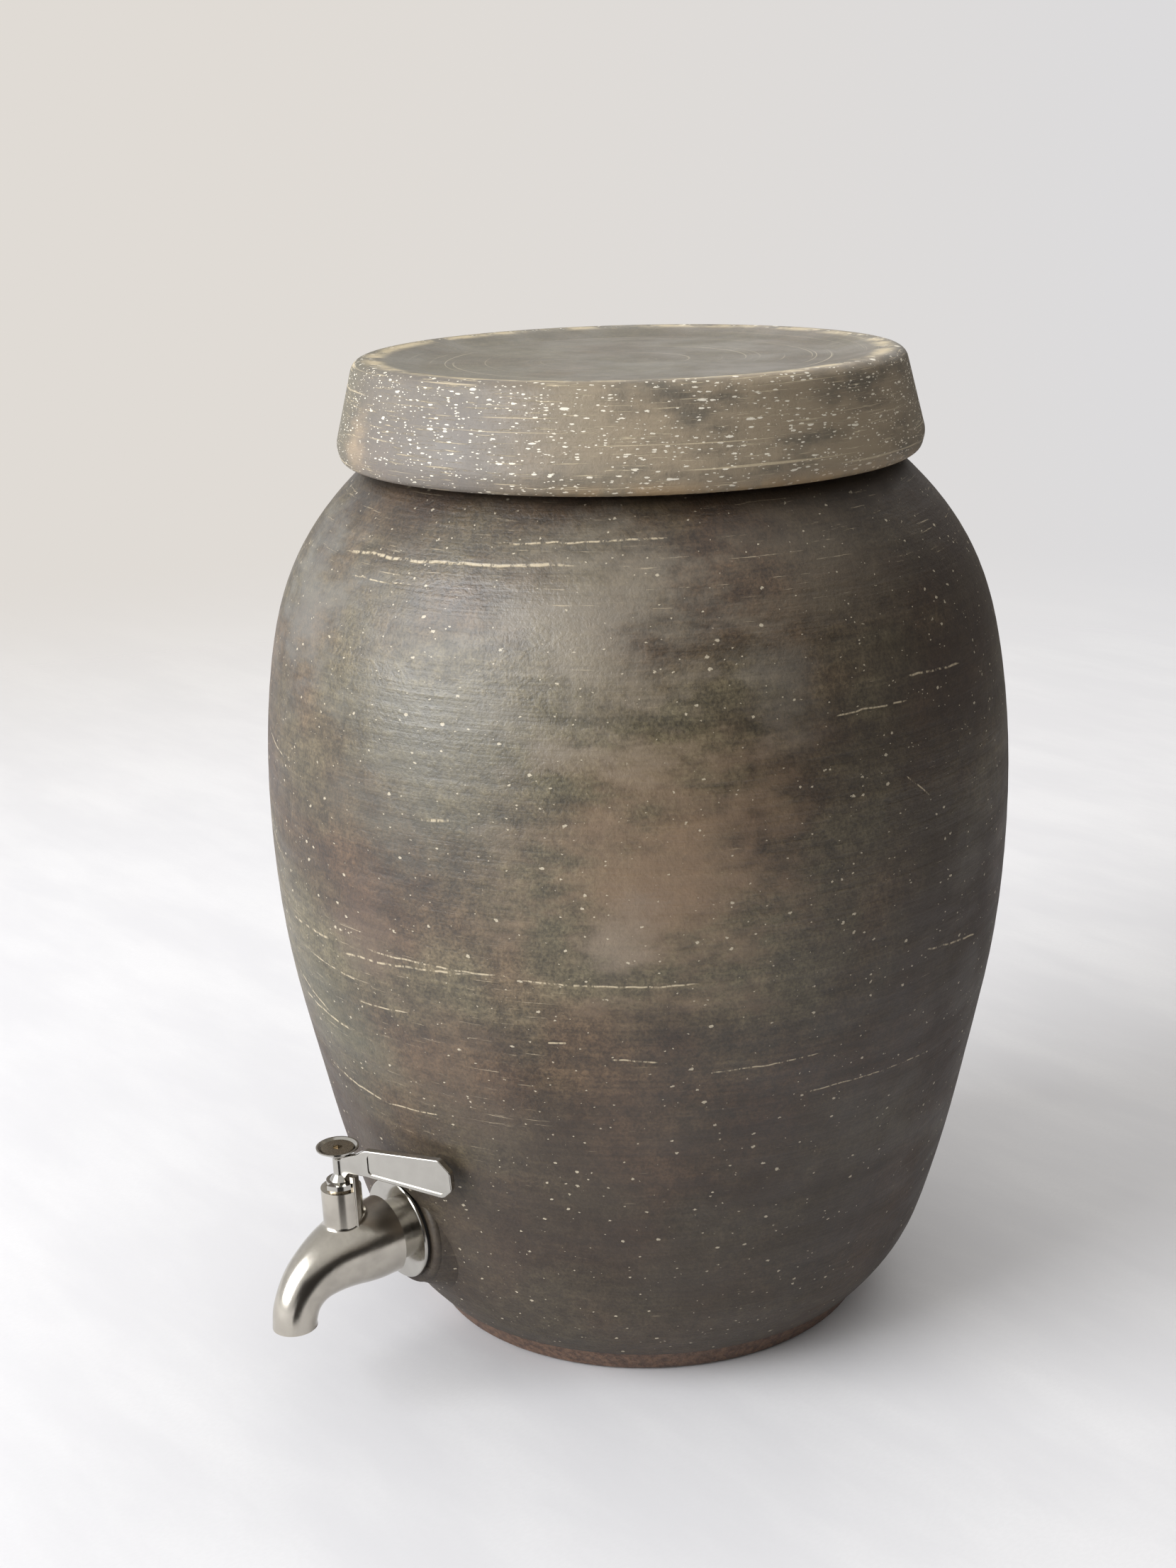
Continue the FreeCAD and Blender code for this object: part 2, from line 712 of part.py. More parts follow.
tube = doc.addObject("Part::Feature", "SpoutTube")
tube.Shape = tube_loft(0.0, spout_length(), spout_radius, 12)
tube.Placement = TAP_PLACE
drain = doc.addObject("Part::Feature", "SpoutHollow")
drain.Shape = tube_loft(size("hollow_start") - size("tube_stand"), spout_length(), hollow_radius, 8)
drain.Placement = TAP_PLACE
out_end, up_end, turn_end = spout_path(spout_length())
mouth = doc.addObject("Part::Cylinder", "OutletMouth")
bind(mouth, Radius="outlet_radius - outlet_wall", Height="4")
mouth.Placement = TAP_PLACE.multiply(FreeCAD.Placement(
    V(0, -out_end, up_end), FreeCAD.Rotation(V(0, 0, 1), V(0, -math.cos(turn_end), -math.sin(turn_end)))))

shank = cylinder("Shank", "shank_radius", "shank_end + tube_stand", outward("0 - shank_end"))
collar = cylinder("TubeCollar", "collar_ring", "tube_stand + 2", outward("0"))
neck = cylinder("Neck", "neck_radius", "neck_top + 2", NECK + " * placement(vector(0; 0; -2); rotationz(0))")
metal = fuse("TapMetal", tube, shank, collar, neck)
doc.recompute()


def part_edges(obj, test):
    return [i + 1 for i, edge in enumerate(obj.Shape.Edges) if test(edge)]


def near_neck_foot(edge):
    """True for the curve where the neck leaves the tube."""
    local = TAP_PLACE.inverse()
    points = [local.multVec(p) for p in edge.discretize(9)]
    radius = size("neck_radius")
    for p in points:
        off = math.hypot(p.x, p.y + size("neck_reach"))
        if abs(off - radius) > 0.05 or p.z > size("neck_top") - 1 or p.z < 4:
            return False
    return True


foot_edges = part_edges(metal, near_neck_foot)
blend = doc.addObject("Part::Fillet", "NeckBlend")
blend.Base = metal
blend.Edges = [(n, size("neck_fillet"), size("neck_fillet")) for n in foot_edges]
doc.recompute()

lug = doc.addObject("Part::Box", "StopLug")
bind(lug, Length="lug_depth", Width="lug_width", Height="lug_top - 8")
lug.setExpression("Placement", expr(
    NECK + " * placement(vector(0; 0; 8); rotationz(lug_angle))"
    + " * placement(vector(valve_bore + 0.05; 0 - lug_width / 2; 0); rotationz(0))"))
lug_round = doc.addObject("Part::Fillet", "StopLugRound")
lug_round.Base = lug
doc.recompute()
upright = part_edges(lug, lambda e: abs(e.Length - (size("lug_top") - 8)) < 1e-6)
lug_round.Edges = [(n, 0.6, 0.6) for n in upright]
solid_tap = fuse("TapSolid", blend, lug_round)

inlet = cylinder("Inlet", "inlet_bore", "shank_end + inlet_depth + 5", outward("0 - shank_end - 5"))
port = cylinder("Port", "port_radius + 0.1", "hollow_start + 2 - inlet_depth + 1", outward("inlet_depth - 1"))
chamber = cylinder("ValveChamber", "valve_bore", "valve_floor + neck_top + 10",
                   NECK + " * placement(vector(0; 0; -valve_floor); rotationz(0))")
tap = cut("TapBody", solid_tap, fuse("TapHollows", inlet, port, chamber, drain, mouth))
tap.Label = "tap_body"
doc.recompute()

# Valve seat: a soft sleeve with the port through it
sleeve_blank = cylinder("SleeveBlank", "valve_bore", "valve_floor + plug_top",
                        NECK + " * placement(vector(0; 0; -valve_floor); rotationz(0))")
sleeve_bore = cylinder("SleeveBore", "valve_bore - sleeve_wall", "valve_floor + plug_top + 2",
                       NECK + " * placement(vector(0; 0; -valve_floor - 1); rotationz(0))")
sleeve_port = cylinder("SleevePort", "port_radius + 0.1", "30", outward("neck_reach - 15"))
sleeve = cut("PlugSleeve", sleeve_blank, fuse("SleeveCuts", sleeve_bore, sleeve_port))
sleeve.Label = "plug_sleeve"

# Valve plug and stem, turned in one piece, with the port across it and a square on top
STEM_TOP = "(plug_top + stem_shoulder)"
GLAND_TOP = "(neck_top + gland_stand)"
plug = new_body("ValvePlug", "valve_plug", HANDLE)
PLUG_R = "(valve_bore - sleeve_wall - plug_clearance)"
SHOULDER_R = "(valve_bore - stem_clearance)"
GROOVE_R = "(valve_bore - 2 * seal_cord - stem_clearance)"
plug_outline = outline_sketch(plug, "PlugOutline", "XZ_Plane", [
    ("0", "0 - valve_floor + end_play"),
    (PLUG_R, "0 - valve_floor + end_play"),
    (PLUG_R, "plug_top + end_play"),
    (SHOULDER_R, "plug_top + end_play"),
    (SHOULDER_R, "plug_top + end_play + seal_land"),
    (GROOVE_R, "plug_top + end_play + seal_land"),
    (GROOVE_R, "plug_top + end_play + seal_land + seal_groove"),
    (SHOULDER_R, "plug_top + end_play + seal_land + seal_groove"),
    (SHOULDER_R, "plug_top + end_play + 2 * seal_land + seal_groove"),
    (GROOVE_R, "plug_top + end_play + 2 * seal_land + seal_groove"),
    (GROOVE_R, "plug_top + end_play + 2 * seal_land + 2 * seal_groove"),
    (SHOULDER_R, "plug_top + end_play + 2 * seal_land + 2 * seal_groove"),
    (SHOULDER_R, STEM_TOP),
    ("stem_radius", STEM_TOP),
    ("stem_radius", GLAND_TOP),
    ("0", GLAND_TOP),
])
plug_turned = turned(plug, "PlugTurned", plug_outline)
flat = "(square_width / 2)"
square_outline = outline_sketch(plug, "StemSquare", "XY_Plane", [
    (flat, flat), ("0 - " + flat, flat), ("0 - " + flat, "0 - " + flat), (flat, "0 - " + flat),
], GLAND_TOP)
plug_square = pad(plug, "StemSquarePad", square_outline, "square_length")
doc.recompute()
thread_sketch = circles_sketch(plug, "StemThread", "XY_Plane", ["screw_radius"],
                               GLAND_TOP + " + square_length")
plug_thread = pocket(plug, "StemThreadHole", thread_sketch, "screw_length - 4")
port_sketch = circles_sketch(plug, "PlugPort", "YZ_Plane", ["port_radius"])
plug_port = pocket(plug, "PlugPortHole", port_sketch, "20")
plug_port.Type = "ThroughAll"
plug_port.Midplane = True
doc.recompute()

# Two rubber rings in the stem's grooves
seals = []
for i in (0, 1):
    torus = doc.addObject("Part::Torus", "StemSeal%d" % (i + 1))
    bind(torus, Radius1="valve_bore - seal_cord - stem_clearance / 2", Radius2="seal_cord")
    height = "plug_top + end_play + seal_land + seal_groove / 2 + %d * (seal_land + seal_groove)" % i
    torus.setExpression("Placement", expr(
        HANDLE + " * placement(vector(0; 0; " + height + "); rotationz(0))"))
    seals.append(torus)
seal_pair = doc.addObject("Part::Compound", "StemSeals")
seal_pair.Links = seals
seal_pair.Label = "stem_seals"

# Slip washer and screwed gland ring that hold the stem down
def neck_ring(name, label, outer, inner, thickness, start):
    body = new_body(name, label, NECK)
    sketch = circles_sketch(body, name + "Section", "XY_Plane", [outer, inner], start)
    return body, pad(body, name + "Pad", sketch, thickness)


neck_ring("ThrustWasher", "thrust_washer", "valve_bore - 0.1", "stem_radius + 0.1",
          "thrust_thickness", STEM_TOP + " + end_play")
GLAND_LOW = STEM_TOP + " + end_play + thrust_thickness"
gland, gland_pad = neck_ring("GlandRing", "gland_ring", "valve_bore", "stem_radius + 0.1",
                             GLAND_TOP + " - (" + GLAND_LOW + ")", GLAND_LOW)

# Lever handle: blade, post, cup for the screw and stop disc, cast in one piece
handle = new_body("Lever", "lever_casting", HANDLE)
blade_sketch = outline_sketch(handle, "BladeOutline", "XZ_Plane", [
    ("0", "neck_top + gland_stand + handle_lift + disc_thickness"),
    ("post_radius", "neck_top + gland_stand + handle_lift + disc_thickness"),
    ("post_radius + 2.2", "blade_root_low"),
    ("blade_root", "blade_root_low"),
    ("blade_end - 3.4", "blade_end_low"),
    ("blade_end", "blade_end_low + 3.2"),
    ("blade_end - 0.3", "blade_end_high - blade_bevel + 0.6"),
    ("blade_end - blade_bevel", "blade_end_high"),
    ("blade_root", "blade_root_high"),
    ("post_radius + 5.4", "blade_root_high - 2.2"),
    ("post_radius", "cup_top - cup_flare"),
    ("0", "cup_top - cup_flare"),
], "0 - blade_thickness / 2")
blade = pad(handle, "Blade", blade_sketch, "blade_thickness")
doc.recompute()


def upright_edge(x_text, z_text):
    """True for the blade's edge across its thickness at one corner."""
    x, z = evaluate(x_text), evaluate(z_text)

    def test(edge):
        a, b = edge.Vertexes[0].Point, edge.Vertexes[-1].Point
        return max(abs(a.x - x), abs(b.x - x), abs(a.z - z), abs(b.z - z)) < 1e-4
    return test


def any_of(*tests):
    return lambda edge: any(test(edge) for test in tests)


step = rounded(handle, "BladeLowRound", blade, any_of(
    upright_edge("blade_end - 3.4", "blade_end_low"),
    upright_edge("blade_end", "blade_end_low + 3.2")), "blade_low_round * 0.7")
step = rounded(handle, "BladeEndRound", step, any_of(
    upright_edge("blade_end - 0.3", "blade_end_high - blade_bevel + 0.6"),
    upright_edge("blade_end - blade_bevel", "blade_end_high")), "blade_round")
step = rounded(handle, "BladeRootRound", step, any_of(
    upright_edge("blade_root", "blade_root_high"),
    upright_edge("post_radius + 5.4", "blade_root_high - 2.2")), "blade_round * 2")
step = rounded(handle, "BladeWebRound", step,
               upright_edge("post_radius + 2.2", "blade_root_low"), "blade_round * 0.6")
half_blade = size("blade_thickness") / 2
root_line = evaluate("post_radius + 1")


def face_outline(edge):
    """True for the blade's outline edges on its two faces, clear of the post."""
    points = edge.discretize(5)
    if any(abs(abs(p.y) - half_blade) > 1e-4 for p in points):
        return False
    return edge.BoundBox.XMax > root_line


step = rounded(handle, "BladeEdges", step, face_outline, "blade_edge")
doc.recompute()
PANEL = [
    ("blade_root + 0.8", "blade_root_low + panel_rim"),
    ("blade_end - 3.9", "blade_end_low + panel_rim * 1.1"),
    ("blade_end - panel_rim * 1.2", "blade_end_low + 3.6"),
    ("blade_end - panel_rim - 0.5", "blade_end_high - blade_bevel + 0.1"),
    ("blade_end - blade_bevel - 0.5", "blade_end_high - panel_rim"),
    ("blade_root + 0.8", "blade_root_high - panel_rim"),
]
for side, sign in (("Front", "0 - "), ("Back", "")):
    panel_sketch = outline_sketch(handle, side + "PanelOutline", "XZ_Plane", PANEL,
                                  sign + "(blade_thickness / 2 - panel_depth)")
    before = step.Shape.Volume
    panel = pocket(handle, side + "Panel", panel_sketch, "2", side == "Back")
    doc.recompute()
    if panel.Shape.Volume > before - 1:
        panel.Reversed = not panel.Reversed
        doc.recompute()
    names = edges_where(panel, lambda e: abs(abs(e.CenterOfMass.y) - half_blade + size("panel_depth") / 2) < 1e-3
                        and abs(e.Length - size("panel_depth")) < 1e-4)
    step = handle.newObject("PartDesign::Fillet", side + "PanelRound")
    step.Base = (panel, names)
    step.setExpression("Radius", expr("blade_round"))
    doc.recompute()

DISC_LOW = "(" + GLAND_TOP + " + handle_lift)"
DISC_HIGH = "(" + DISC_LOW + " + disc_thickness)"
SEAT_LOW = "(cup_top - cup_dish - head_thickness - head_depth)"
post_outline = outline_sketch(handle, "PostOutline", "XZ_Plane", [
    ("0", DISC_LOW),
    ("disc_radius", DISC_LOW),
    ("disc_radius", DISC_HIGH),
    ("post_radius + 1.5", DISC_HIGH),
    ("post_radius", DISC_HIGH + " + disc_flare"),
    ("post_radius", "cup_top - cup_flare - 0.6"),
    ("cup_radius - 1.6", "cup_top - 1.3"),
    ("cup_radius", "cup_top - 0.5"),
    ("cup_radius", "cup_top"),
    ("cup_radius - cup_rim", "cup_top"),
    ("head_radius + 0.2", "cup_top - cup_dish - 0.25"),
    ("head_radius + 0.2", "cup_top - cup_dish - head_thickness"),
    ("screw_radius + screw_clearance", SEAT_LOW),
    ("0", SEAT_LOW),
])
post = turned(handle, "Post", post_outline)
doc.recompute()
step = rounded(handle, "PostRound", post, any_of(
    lambda e: circle_edge(e, size("post_radius"), evaluate("cup_top - cup_flare - 0.6")),
    lambda e: circle_edge(e, evaluate("cup_radius - 1.6"), evaluate("cup_top - 1.3"))), "1.2")
doc.recompute()
through = circles_sketch(handle, "ScrewWay", "XY_Plane", ["screw_radius + screw_clearance"], SEAT_LOW + " + 0.5")
step = pocket(handle, "ScrewWayHole", through, "30")
socket_flat = "(square_width / 2 + 0.05)"
socket_sketch = outline_sketch(handle, "SocketOutline", "XY_Plane", [
    (socket_flat, socket_flat), ("0 - " + socket_flat, socket_flat),
    ("0 - " + socket_flat, "0 - " + socket_flat), (socket_flat, "0 - " + socket_flat),
], DISC_LOW + " - 1")
doc.recompute()
before = step.Shape.Volume
step = pocket(handle, "SquareSocket", socket_sketch, "1 + square_length - handle_lift + 0.2", True)
doc.recompute()
DISC_CUT = HANDLE + " * placement(vector(0; 0; " + DISC_LOW + " - 1); rotationz({}))"


def disc_sector(name, start, sweep):
    """Wedge of the stop disc, from an angle off the lever's direction."""
    obj = doc.addObject("Part::Cylinder", name)
    bind(obj, Radius="disc_radius + 3", Height="disc_thickness + 1.02", Angle=sweep)
    obj.setExpression("Placement", expr(DISC_CUT.format(start)))
    return obj


# The lug stands in one gap of the disc; a tooth ends its travel, and a second gap lightens the rest
LUG_HALF_DEG = "%.4f" % (math.degrees(math.asin(size("lug_width") / 2 / (size("valve_bore") + 0.05))) + 1.0)
GAP_START = "(lug_angle - (lever_turn - 90) - " + LUG_HALF_DEG + ")"
GAP_SWEEP = "(lever_turn + 2 * " + LUG_HALF_DEG + ")"
stop_gap = disc_sector("StopGap", GAP_START, GAP_SWEEP)
second_gap = disc_sector("SecondGap", GAP_START + " + " + GAP_SWEEP + " + stop_tooth", "disc_notch")
core = cylinder("StopCore", "valve_bore - 0.3", "disc_thickness + 4",
                HANDLE + " * placement(vector(0; 0; " + DISC_LOW + " - 2); rotationz(0))")
lever = cut("Handle", handle, cut("StopCutout", fuse("DiscGaps", stop_gap, second_gap), core))
lever.Label = "handle"
doc.recompute()

# Handle screw: wide countersunk head with a hexagon socket
screw = new_body("HandleScrew", "handle_screw", HANDLE)
screw_outline = outline_sketch(screw, "ScrewOutline", "XZ_Plane", [
    ("0", "cup_top - cup_dish"),
    ("head_radius", "cup_top - cup_dish"),
    ("head_radius", "cup_top - cup_dish - head_thickness + 0.05"),
    ("screw_radius", SEAT_LOW + " + 0.05"),
    ("screw_radius", "cup_top - cup_dish - screw_length"),
    ("0", "cup_top - cup_dish - screw_length"),
])
screw_turned = turned(screw, "ScrewTurned", screw_outline)
hex_half = "(hex_flats / 2)"
hex_far = "(hex_flats / 1.7320508)"
hex_sketch = outline_sketch(screw, "ScrewSocket", "XY_Plane", [
    (hex_far, "0"), (hex_far + " / 2", hex_half), ("0 - " + hex_far + " / 2", hex_half),
    ("0 - " + hex_far, "0"), ("0 - " + hex_far + " / 2", "0 - " + hex_half), (hex_far + " / 2", "0 - " + hex_half),
], "cup_top - cup_dish")
screw_socket = pocket(screw, "ScrewSocketHole", hex_sketch, "hex_depth")
doc.recompute()

# Check every object, then write one file for each piece
NODES = {
    "pot_body": pot, "lid": lid, "escutcheon": plate, "outer_gasket": doc.getObject("OuterGasket"),
    "inner_gasket": doc.getObject("InnerGasket"), "backing_washer": doc.getObject("BackingWasher"),
    "lock_nut": nut, "tap_body": tap, "plug_sleeve": sleeve, "valve_plug": plug,
    "stem_seals": seal_pair, "thrust_washer": doc.getObject("ThrustWasher"), "gland_ring": gland,
    "handle": lever, "handle_screw": screw,
}
for obj in doc.Objects:
    if "Invalid" in obj.State or "Error" in obj.State:
        raise RuntimeError("%s failed: %s" % (obj.Name, obj.State))
for label, obj in NODES.items():
    shape = obj.Shape
    if shape.isNull() or not shape.isValid() or not shape.Solids:
        raise RuntimeError("%s has no valid solid" % label)
    print("%-15s %2d solid(s) %10.1f mm3  %s" % (label, len(shape.Solids), shape.Volume, obj.Label))
os.makedirs("parts", exist_ok=True)
for label, obj in NODES.items():
    obj.Shape.exportStep(os.path.join("parts", label + ".step"))
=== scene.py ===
# %% [markdown]
# # A clay water pot with a steel tap
#
# The pot is thrown from dark clay and smoked in the kiln, so its skin drifts from brown to
# grey-green. A loose lid hangs over its neck, and a bent lever tap is clamped through the wall.
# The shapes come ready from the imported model. This lesson gives them their camera, their
# surfaces and their light.

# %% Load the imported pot
import bpy
import math
from mathutils import Matrix, Vector


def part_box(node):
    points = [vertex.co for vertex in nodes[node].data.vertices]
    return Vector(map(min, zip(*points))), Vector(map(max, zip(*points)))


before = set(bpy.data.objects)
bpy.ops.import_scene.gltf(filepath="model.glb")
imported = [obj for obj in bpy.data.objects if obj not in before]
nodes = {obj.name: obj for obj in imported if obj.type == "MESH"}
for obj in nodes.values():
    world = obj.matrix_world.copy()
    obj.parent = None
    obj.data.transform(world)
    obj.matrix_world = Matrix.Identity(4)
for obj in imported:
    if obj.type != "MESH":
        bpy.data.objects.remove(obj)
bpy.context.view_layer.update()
MM = 0.001

# %% [markdown]
# ## The camera
#
# The photograph was taken from the right of the tap, a little above the lid, with the camera
# tipped down. A camera could be aimed with a Track To constraint, but then its small tilt to
# one side would be lost. So its turn is built from three plain rotations: which way it faces,
# how far it looks down, and how far it leans. Its place is in metres, its turns in degrees.

# %% Place the camera
CAMERA_PLACE = Vector((0.5961, -0.4893, 0.4201))
FACING, LOOKING_DOWN, LEANING = 51.93, 16.71, 1.626

eye = bpy.data.objects.new("eye", bpy.data.cameras.new("eye"))
eye.data.lens = 52.0
eye.data.sensor_width = 36.0
eye.data.clip_start = 0.01
turn = Matrix.Rotation(math.radians(FACING), 4, "Z")
tip = Matrix.Rotation(math.radians(90 - LOOKING_DOWN), 4, "X")
lean = Matrix.Rotation(math.radians(-LEANING), 4, "Z")
eye.matrix_world = Matrix.Translation(CAMERA_PLACE) @ turn @ tip @ lean
bpy.context.scene.collection.objects.link(eye)
bpy.context.scene.camera = eye
print("camera", round((CAMERA_PLACE - Vector((0, 0, 0.17))).length, 2), "m from the pot")

# %% [markdown]
# The light is easier to place as the camera sees it: so far to the right of the pot, so far
# behind it and so far above the floor. Both level directions follow from the camera's place.

# %% Right and back, as the camera sees them
TO_BACK = Vector((-CAMERA_PLACE.x, -CAMERA_PLACE.y, 0)).normalized()
TO_RIGHT = Vector((TO_BACK.y, -TO_BACK.x, 0))


def from_camera(right, back, up):
    """A place in metres right of, behind and above the foot of the pot, as the camera sees it."""
    return TO_RIGHT * right + TO_BACK * back + Vector((0, 0, up))


print("to the right is", [round(v, 2) for v in TO_RIGHT])

# %% [markdown]
# ## Laying nodes by name
#
# Clay has no two spots alike, and a picture wrapped round the pot would stretch at the foot.
# Noise that fills space has no seam, so every surface here is made of nodes that read the
# piece's own coordinates in metres. A small bench keeps that short: it adds a node, sets it
# and wires it in one line.

# %% A bench for nodes
def tone(red, green, blue):
    """Colour as a picture editor shows it, 0 to 255, turned into the light it stands for."""
    parts = [c / 255 for c in (red, green, blue)]
    return tuple(c / 12.92 if c < 0.04045 else ((c + 0.055) / 1.055) ** 2.4 for c in parts) + (1.0,)


class Bench:
    """Adds nodes to one tree and wires them as it goes."""

    def __init__(self, tree):
        self.tree = tree
        self.count = 0

    def add(self, kind, feeds=(), **settings):
        """A new shader node with its settings made and its sockets fed."""
        node = self.tree.nodes.new("ShaderNode" + kind)
        node.location = (220 * (self.count % 12), -260 * (self.count // 12))
        self.count += 1
        for name, value in settings.items():
            setattr(node, name, value)
        for socket, value in dict(feeds).items():
            self.feed(node.inputs[socket], value)
        return node

    def feed(self, socket, value):
        """Wires a socket to another one, or sets a plain value on it."""
        if isinstance(value, bpy.types.NodeSocket):
            self.tree.links.new(value, socket)
        else:
            socket.default_value = value

    def math(self, work, first, second=0.0):
        return self.add("Math", {0: first, 1: second}, operation=work).outputs[0]

    def times(self, first, *others):
        """All the values multiplied."""
        for other in others:
            first = self.math("MULTIPLY", first, other)
        return first

    def plus(self, first, *others):
        """All the values added up."""
        for other in others:
            first = self.math("ADD", first, other)
        return first

    def ease(self, value, low, high, start=0.0, end=1.0):
        """Soft step from start to end while value goes from low to high."""
        feeds = {"Value": value, "From Min": low, "From Max": high, "To Min": start, "To Max": end}
        return self.add("MapRange", feeds, interpolation_type="SMOOTHSTEP").outputs[0]

    def stretch(self, place, x, y, z):
        """The same place on a ruler that is finer along some directions."""
        return self.add("VectorMath", {0: place, 1: (x, y, z)}, operation="MULTIPLY").outputs[0]

    def noise(self, place, scale, detail=3.0, rough=0.5):
        feeds = {"Vector": place, "Scale": scale, "Detail": detail, "Roughness": rough}
        return self.add("TexNoise", feeds).outputs[0]

    def blend(self, share, under, over, way="MIX"):
        """Colour over laid on colour under, by a share from 0 to 1."""
        feeds = {0: share, 6: under, 7: over}
        return self.add("Mix", feeds, data_type="RGBA", blend_type=way).outputs[2]

    def paint(self, colour, mask, strength, shade):
        """A shade laid over a colour where a mask is, as strongly as given."""
        return self.blend(self.times(mask, strength), colour, tone(*shade))


print("bench ready, white is", [round(c, 2) for c in tone(255, 255, 255)])

# %% [markdown]
# ## Where a point lies on a turned pot
#
# Marks on a thrown pot run round it. It helps to know three things of each point: its height,
# how far round it is and how far from the axis. Math nodes work these out from the piece's
# coordinates, which is surer than an unwrapped map, because the solid has none.
#
# Turns are in degrees round the pot, where 0 is to the right of the tap and -90 is the tap
# itself. A height or a distance that reads a point's own place is in metres, like the place.

# %% Height, turn and reach of a point
class Spot:
    """A point's place on the pot, as sockets for the nodes that follow."""

    def __init__(self, bench):
        self.bench = bench
        self.place = bench.add("TexCoord").outputs["Object"]
        split = bench.add("SeparateXYZ", {0: self.place})
        self.height = split.outputs["Z"]
        radians = bench.math("ARCTAN2", split.outputs["Y"], split.outputs["X"])
        self.turn = bench.times(radians, 180 / math.pi)
        flat = bench.stretch(self.place, 1, 1, 0)
        self.reach = bench.add("VectorMath", {0: flat}, operation="LENGTH").outputs["Value"]

    def turned_from(self, degrees):
        """How many degrees a point lies from a turn, to either side."""
        return self.bench.math("ABSOLUTE", self.bench.plus(self.turn, -degrees))


def on_pot(turn_degrees, height_mm, reach_mm):
    """Point of the pot's frame at a turn, a height and a distance from the axis."""
    angle = math.radians(turn_degrees)
    return (reach_mm * MM * math.cos(angle), reach_mm * MM * math.sin(angle), height_mm * MM)


print("a point on the belly, facing the camera:", [round(v, 3) for v in on_pot(-39, 190, 129)])

# %% [markdown]
# ## Starting and wearing a finish
#
# Each finish starts with the values that are the same all over it, set plainly on its shader.
# It ends with what changes from spot to spot, which is wired in: colour, gloss and relief. The
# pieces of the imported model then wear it.

# %% First and last lines of every finish
def start_finish(name, **sockets):
    """A material, its bench, and its main shader with the plain values set on it."""
    finish = bpy.data.materials.new(name)
    finish.use_nodes = True
    tree = finish.node_tree
    shader = next(n for n in tree.nodes if n.type == "BSDF_PRINCIPLED")
    for socket, value in sockets.items():
        shader.inputs[socket.replace("_", " ")].default_value = value
    return finish, Bench(tree), shader


def end_finish(bench, shader, colour, gloss, relief, strength, depth_mm):
    """Wires in a colour, a roughness, and a relief of a depth in millimetres."""
    bump = bench.add("Bump", {"Strength": strength, "Distance": depth_mm * MM, "Height": relief})
    bench.feed(shader.inputs["Base Color"], colour)
    bench.feed(shader.inputs["Roughness"], gloss)
    bench.feed(shader.inputs["Normal"], bump.outputs[0])


def dress(name, finish):
    """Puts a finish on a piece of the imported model."""
    piece = nodes[name]
    if not piece.material_slots:
        piece.data.materials.append(finish)
    for slot in piece.material_slots:
        slot.material = finish
    print(name, "wears", finish.name)


# %% [markdown]
# ## The clay's ground
#
# Smoke and flame leave soft clouds of colour, the thrower's fingers leave faint rings, and the
# sand in the clay leaves grain. Each is a noise of its own size. The rings are a noise that is
# squeezed hard along the height, so it drifts slowly round the pot and fast up it. The same
# four noises darken the colour and raise the relief, so light and touch agree.

# %% Clouds, rings and grain
DIM, BRIGHT = (0.25, 0.25, 0.25, 1), (0.75, 0.75, 0.75, 1)


def cloud(bench, spot, turn_degrees, height_mm, reach_mm, spread_mm):
    """Soft round patch on the clay, with an edge that noise has broken up."""
    spread = spread_mm * MM
    centre = on_pot(turn_degrees, height_mm, reach_mm)
    far = bench.add("VectorMath", {0: spot.place, 1: centre}, operation="DISTANCE").outputs["Value"]
    wander = bench.noise(bench.stretch(spot.place, 1, 1, 2.2), 34, 5, 0.68)
    wander = bench.times(bench.math("SUBTRACT", wander, 0.28), spread * 2.8)
    return bench.ease(bench.plus(far, wander), spread * 1.7, spread * 0.5)


def clay_ground(bench, spot):
    """Colour of the smoked clay, and its relief in millimetres."""
    drift = bench.noise(bench.stretch(spot.place, 1, 1, 1.5), 9, 4, 0.6)
    tint = bench.noise(bench.stretch(spot.place, 1.3, 1.3, 1), 15, 3, 0.5)
    colour = bench.blend(bench.ease(drift, 0.36, 0.64), tone(62, 46, 31), tone(86, 78, 58))
    colour = bench.blend(bench.ease(tint, 0.52, 0.74, 0, 0.55), colour, tone(98, 76, 55))
    rings = bench.noise(bench.stretch(spot.place, 5, 5, 95), 1, 4, 0.6)
    lines = bench.noise(bench.stretch(spot.place, 14, 14, 620), 1, 3, 0.6)
    grain = bench.noise(spot.place, 950, 3, 0.65)
    mottle = bench.noise(spot.place, 210, 3, 0.6)
    relief = 0.0
    for reading, share, height in (
        (rings, 0.35, 0.55),
        (lines, 0.40, 0.16),
        (grain, 0.85, 0.17),
        (mottle, 0.65, 0.24),
    ):
        grey = bench.blend(bench.ease(reading, 0.30, 0.70), DIM, BRIGHT)
        colour = bench.blend(share, colour, grey, "SOFT_LIGHT")
        relief = bench.plus(bench.times(reading, height), relief)
    return colour, relief


print("clay ground: drift, tint, rings, lines, grain and mottle")

# %% [markdown]
# ## Specks and chips
#
# Pale grit shows through the dark skin as tiny flat specks, sparse on the body and crowded on
# the side of the lid. Dots could be scattered as thousands of small meshes, but Voronoi cells
# do it in one node: each cell holds one dot, and its random colour says how big the dot is.
# A little noise added to the place makes the dots ragged.

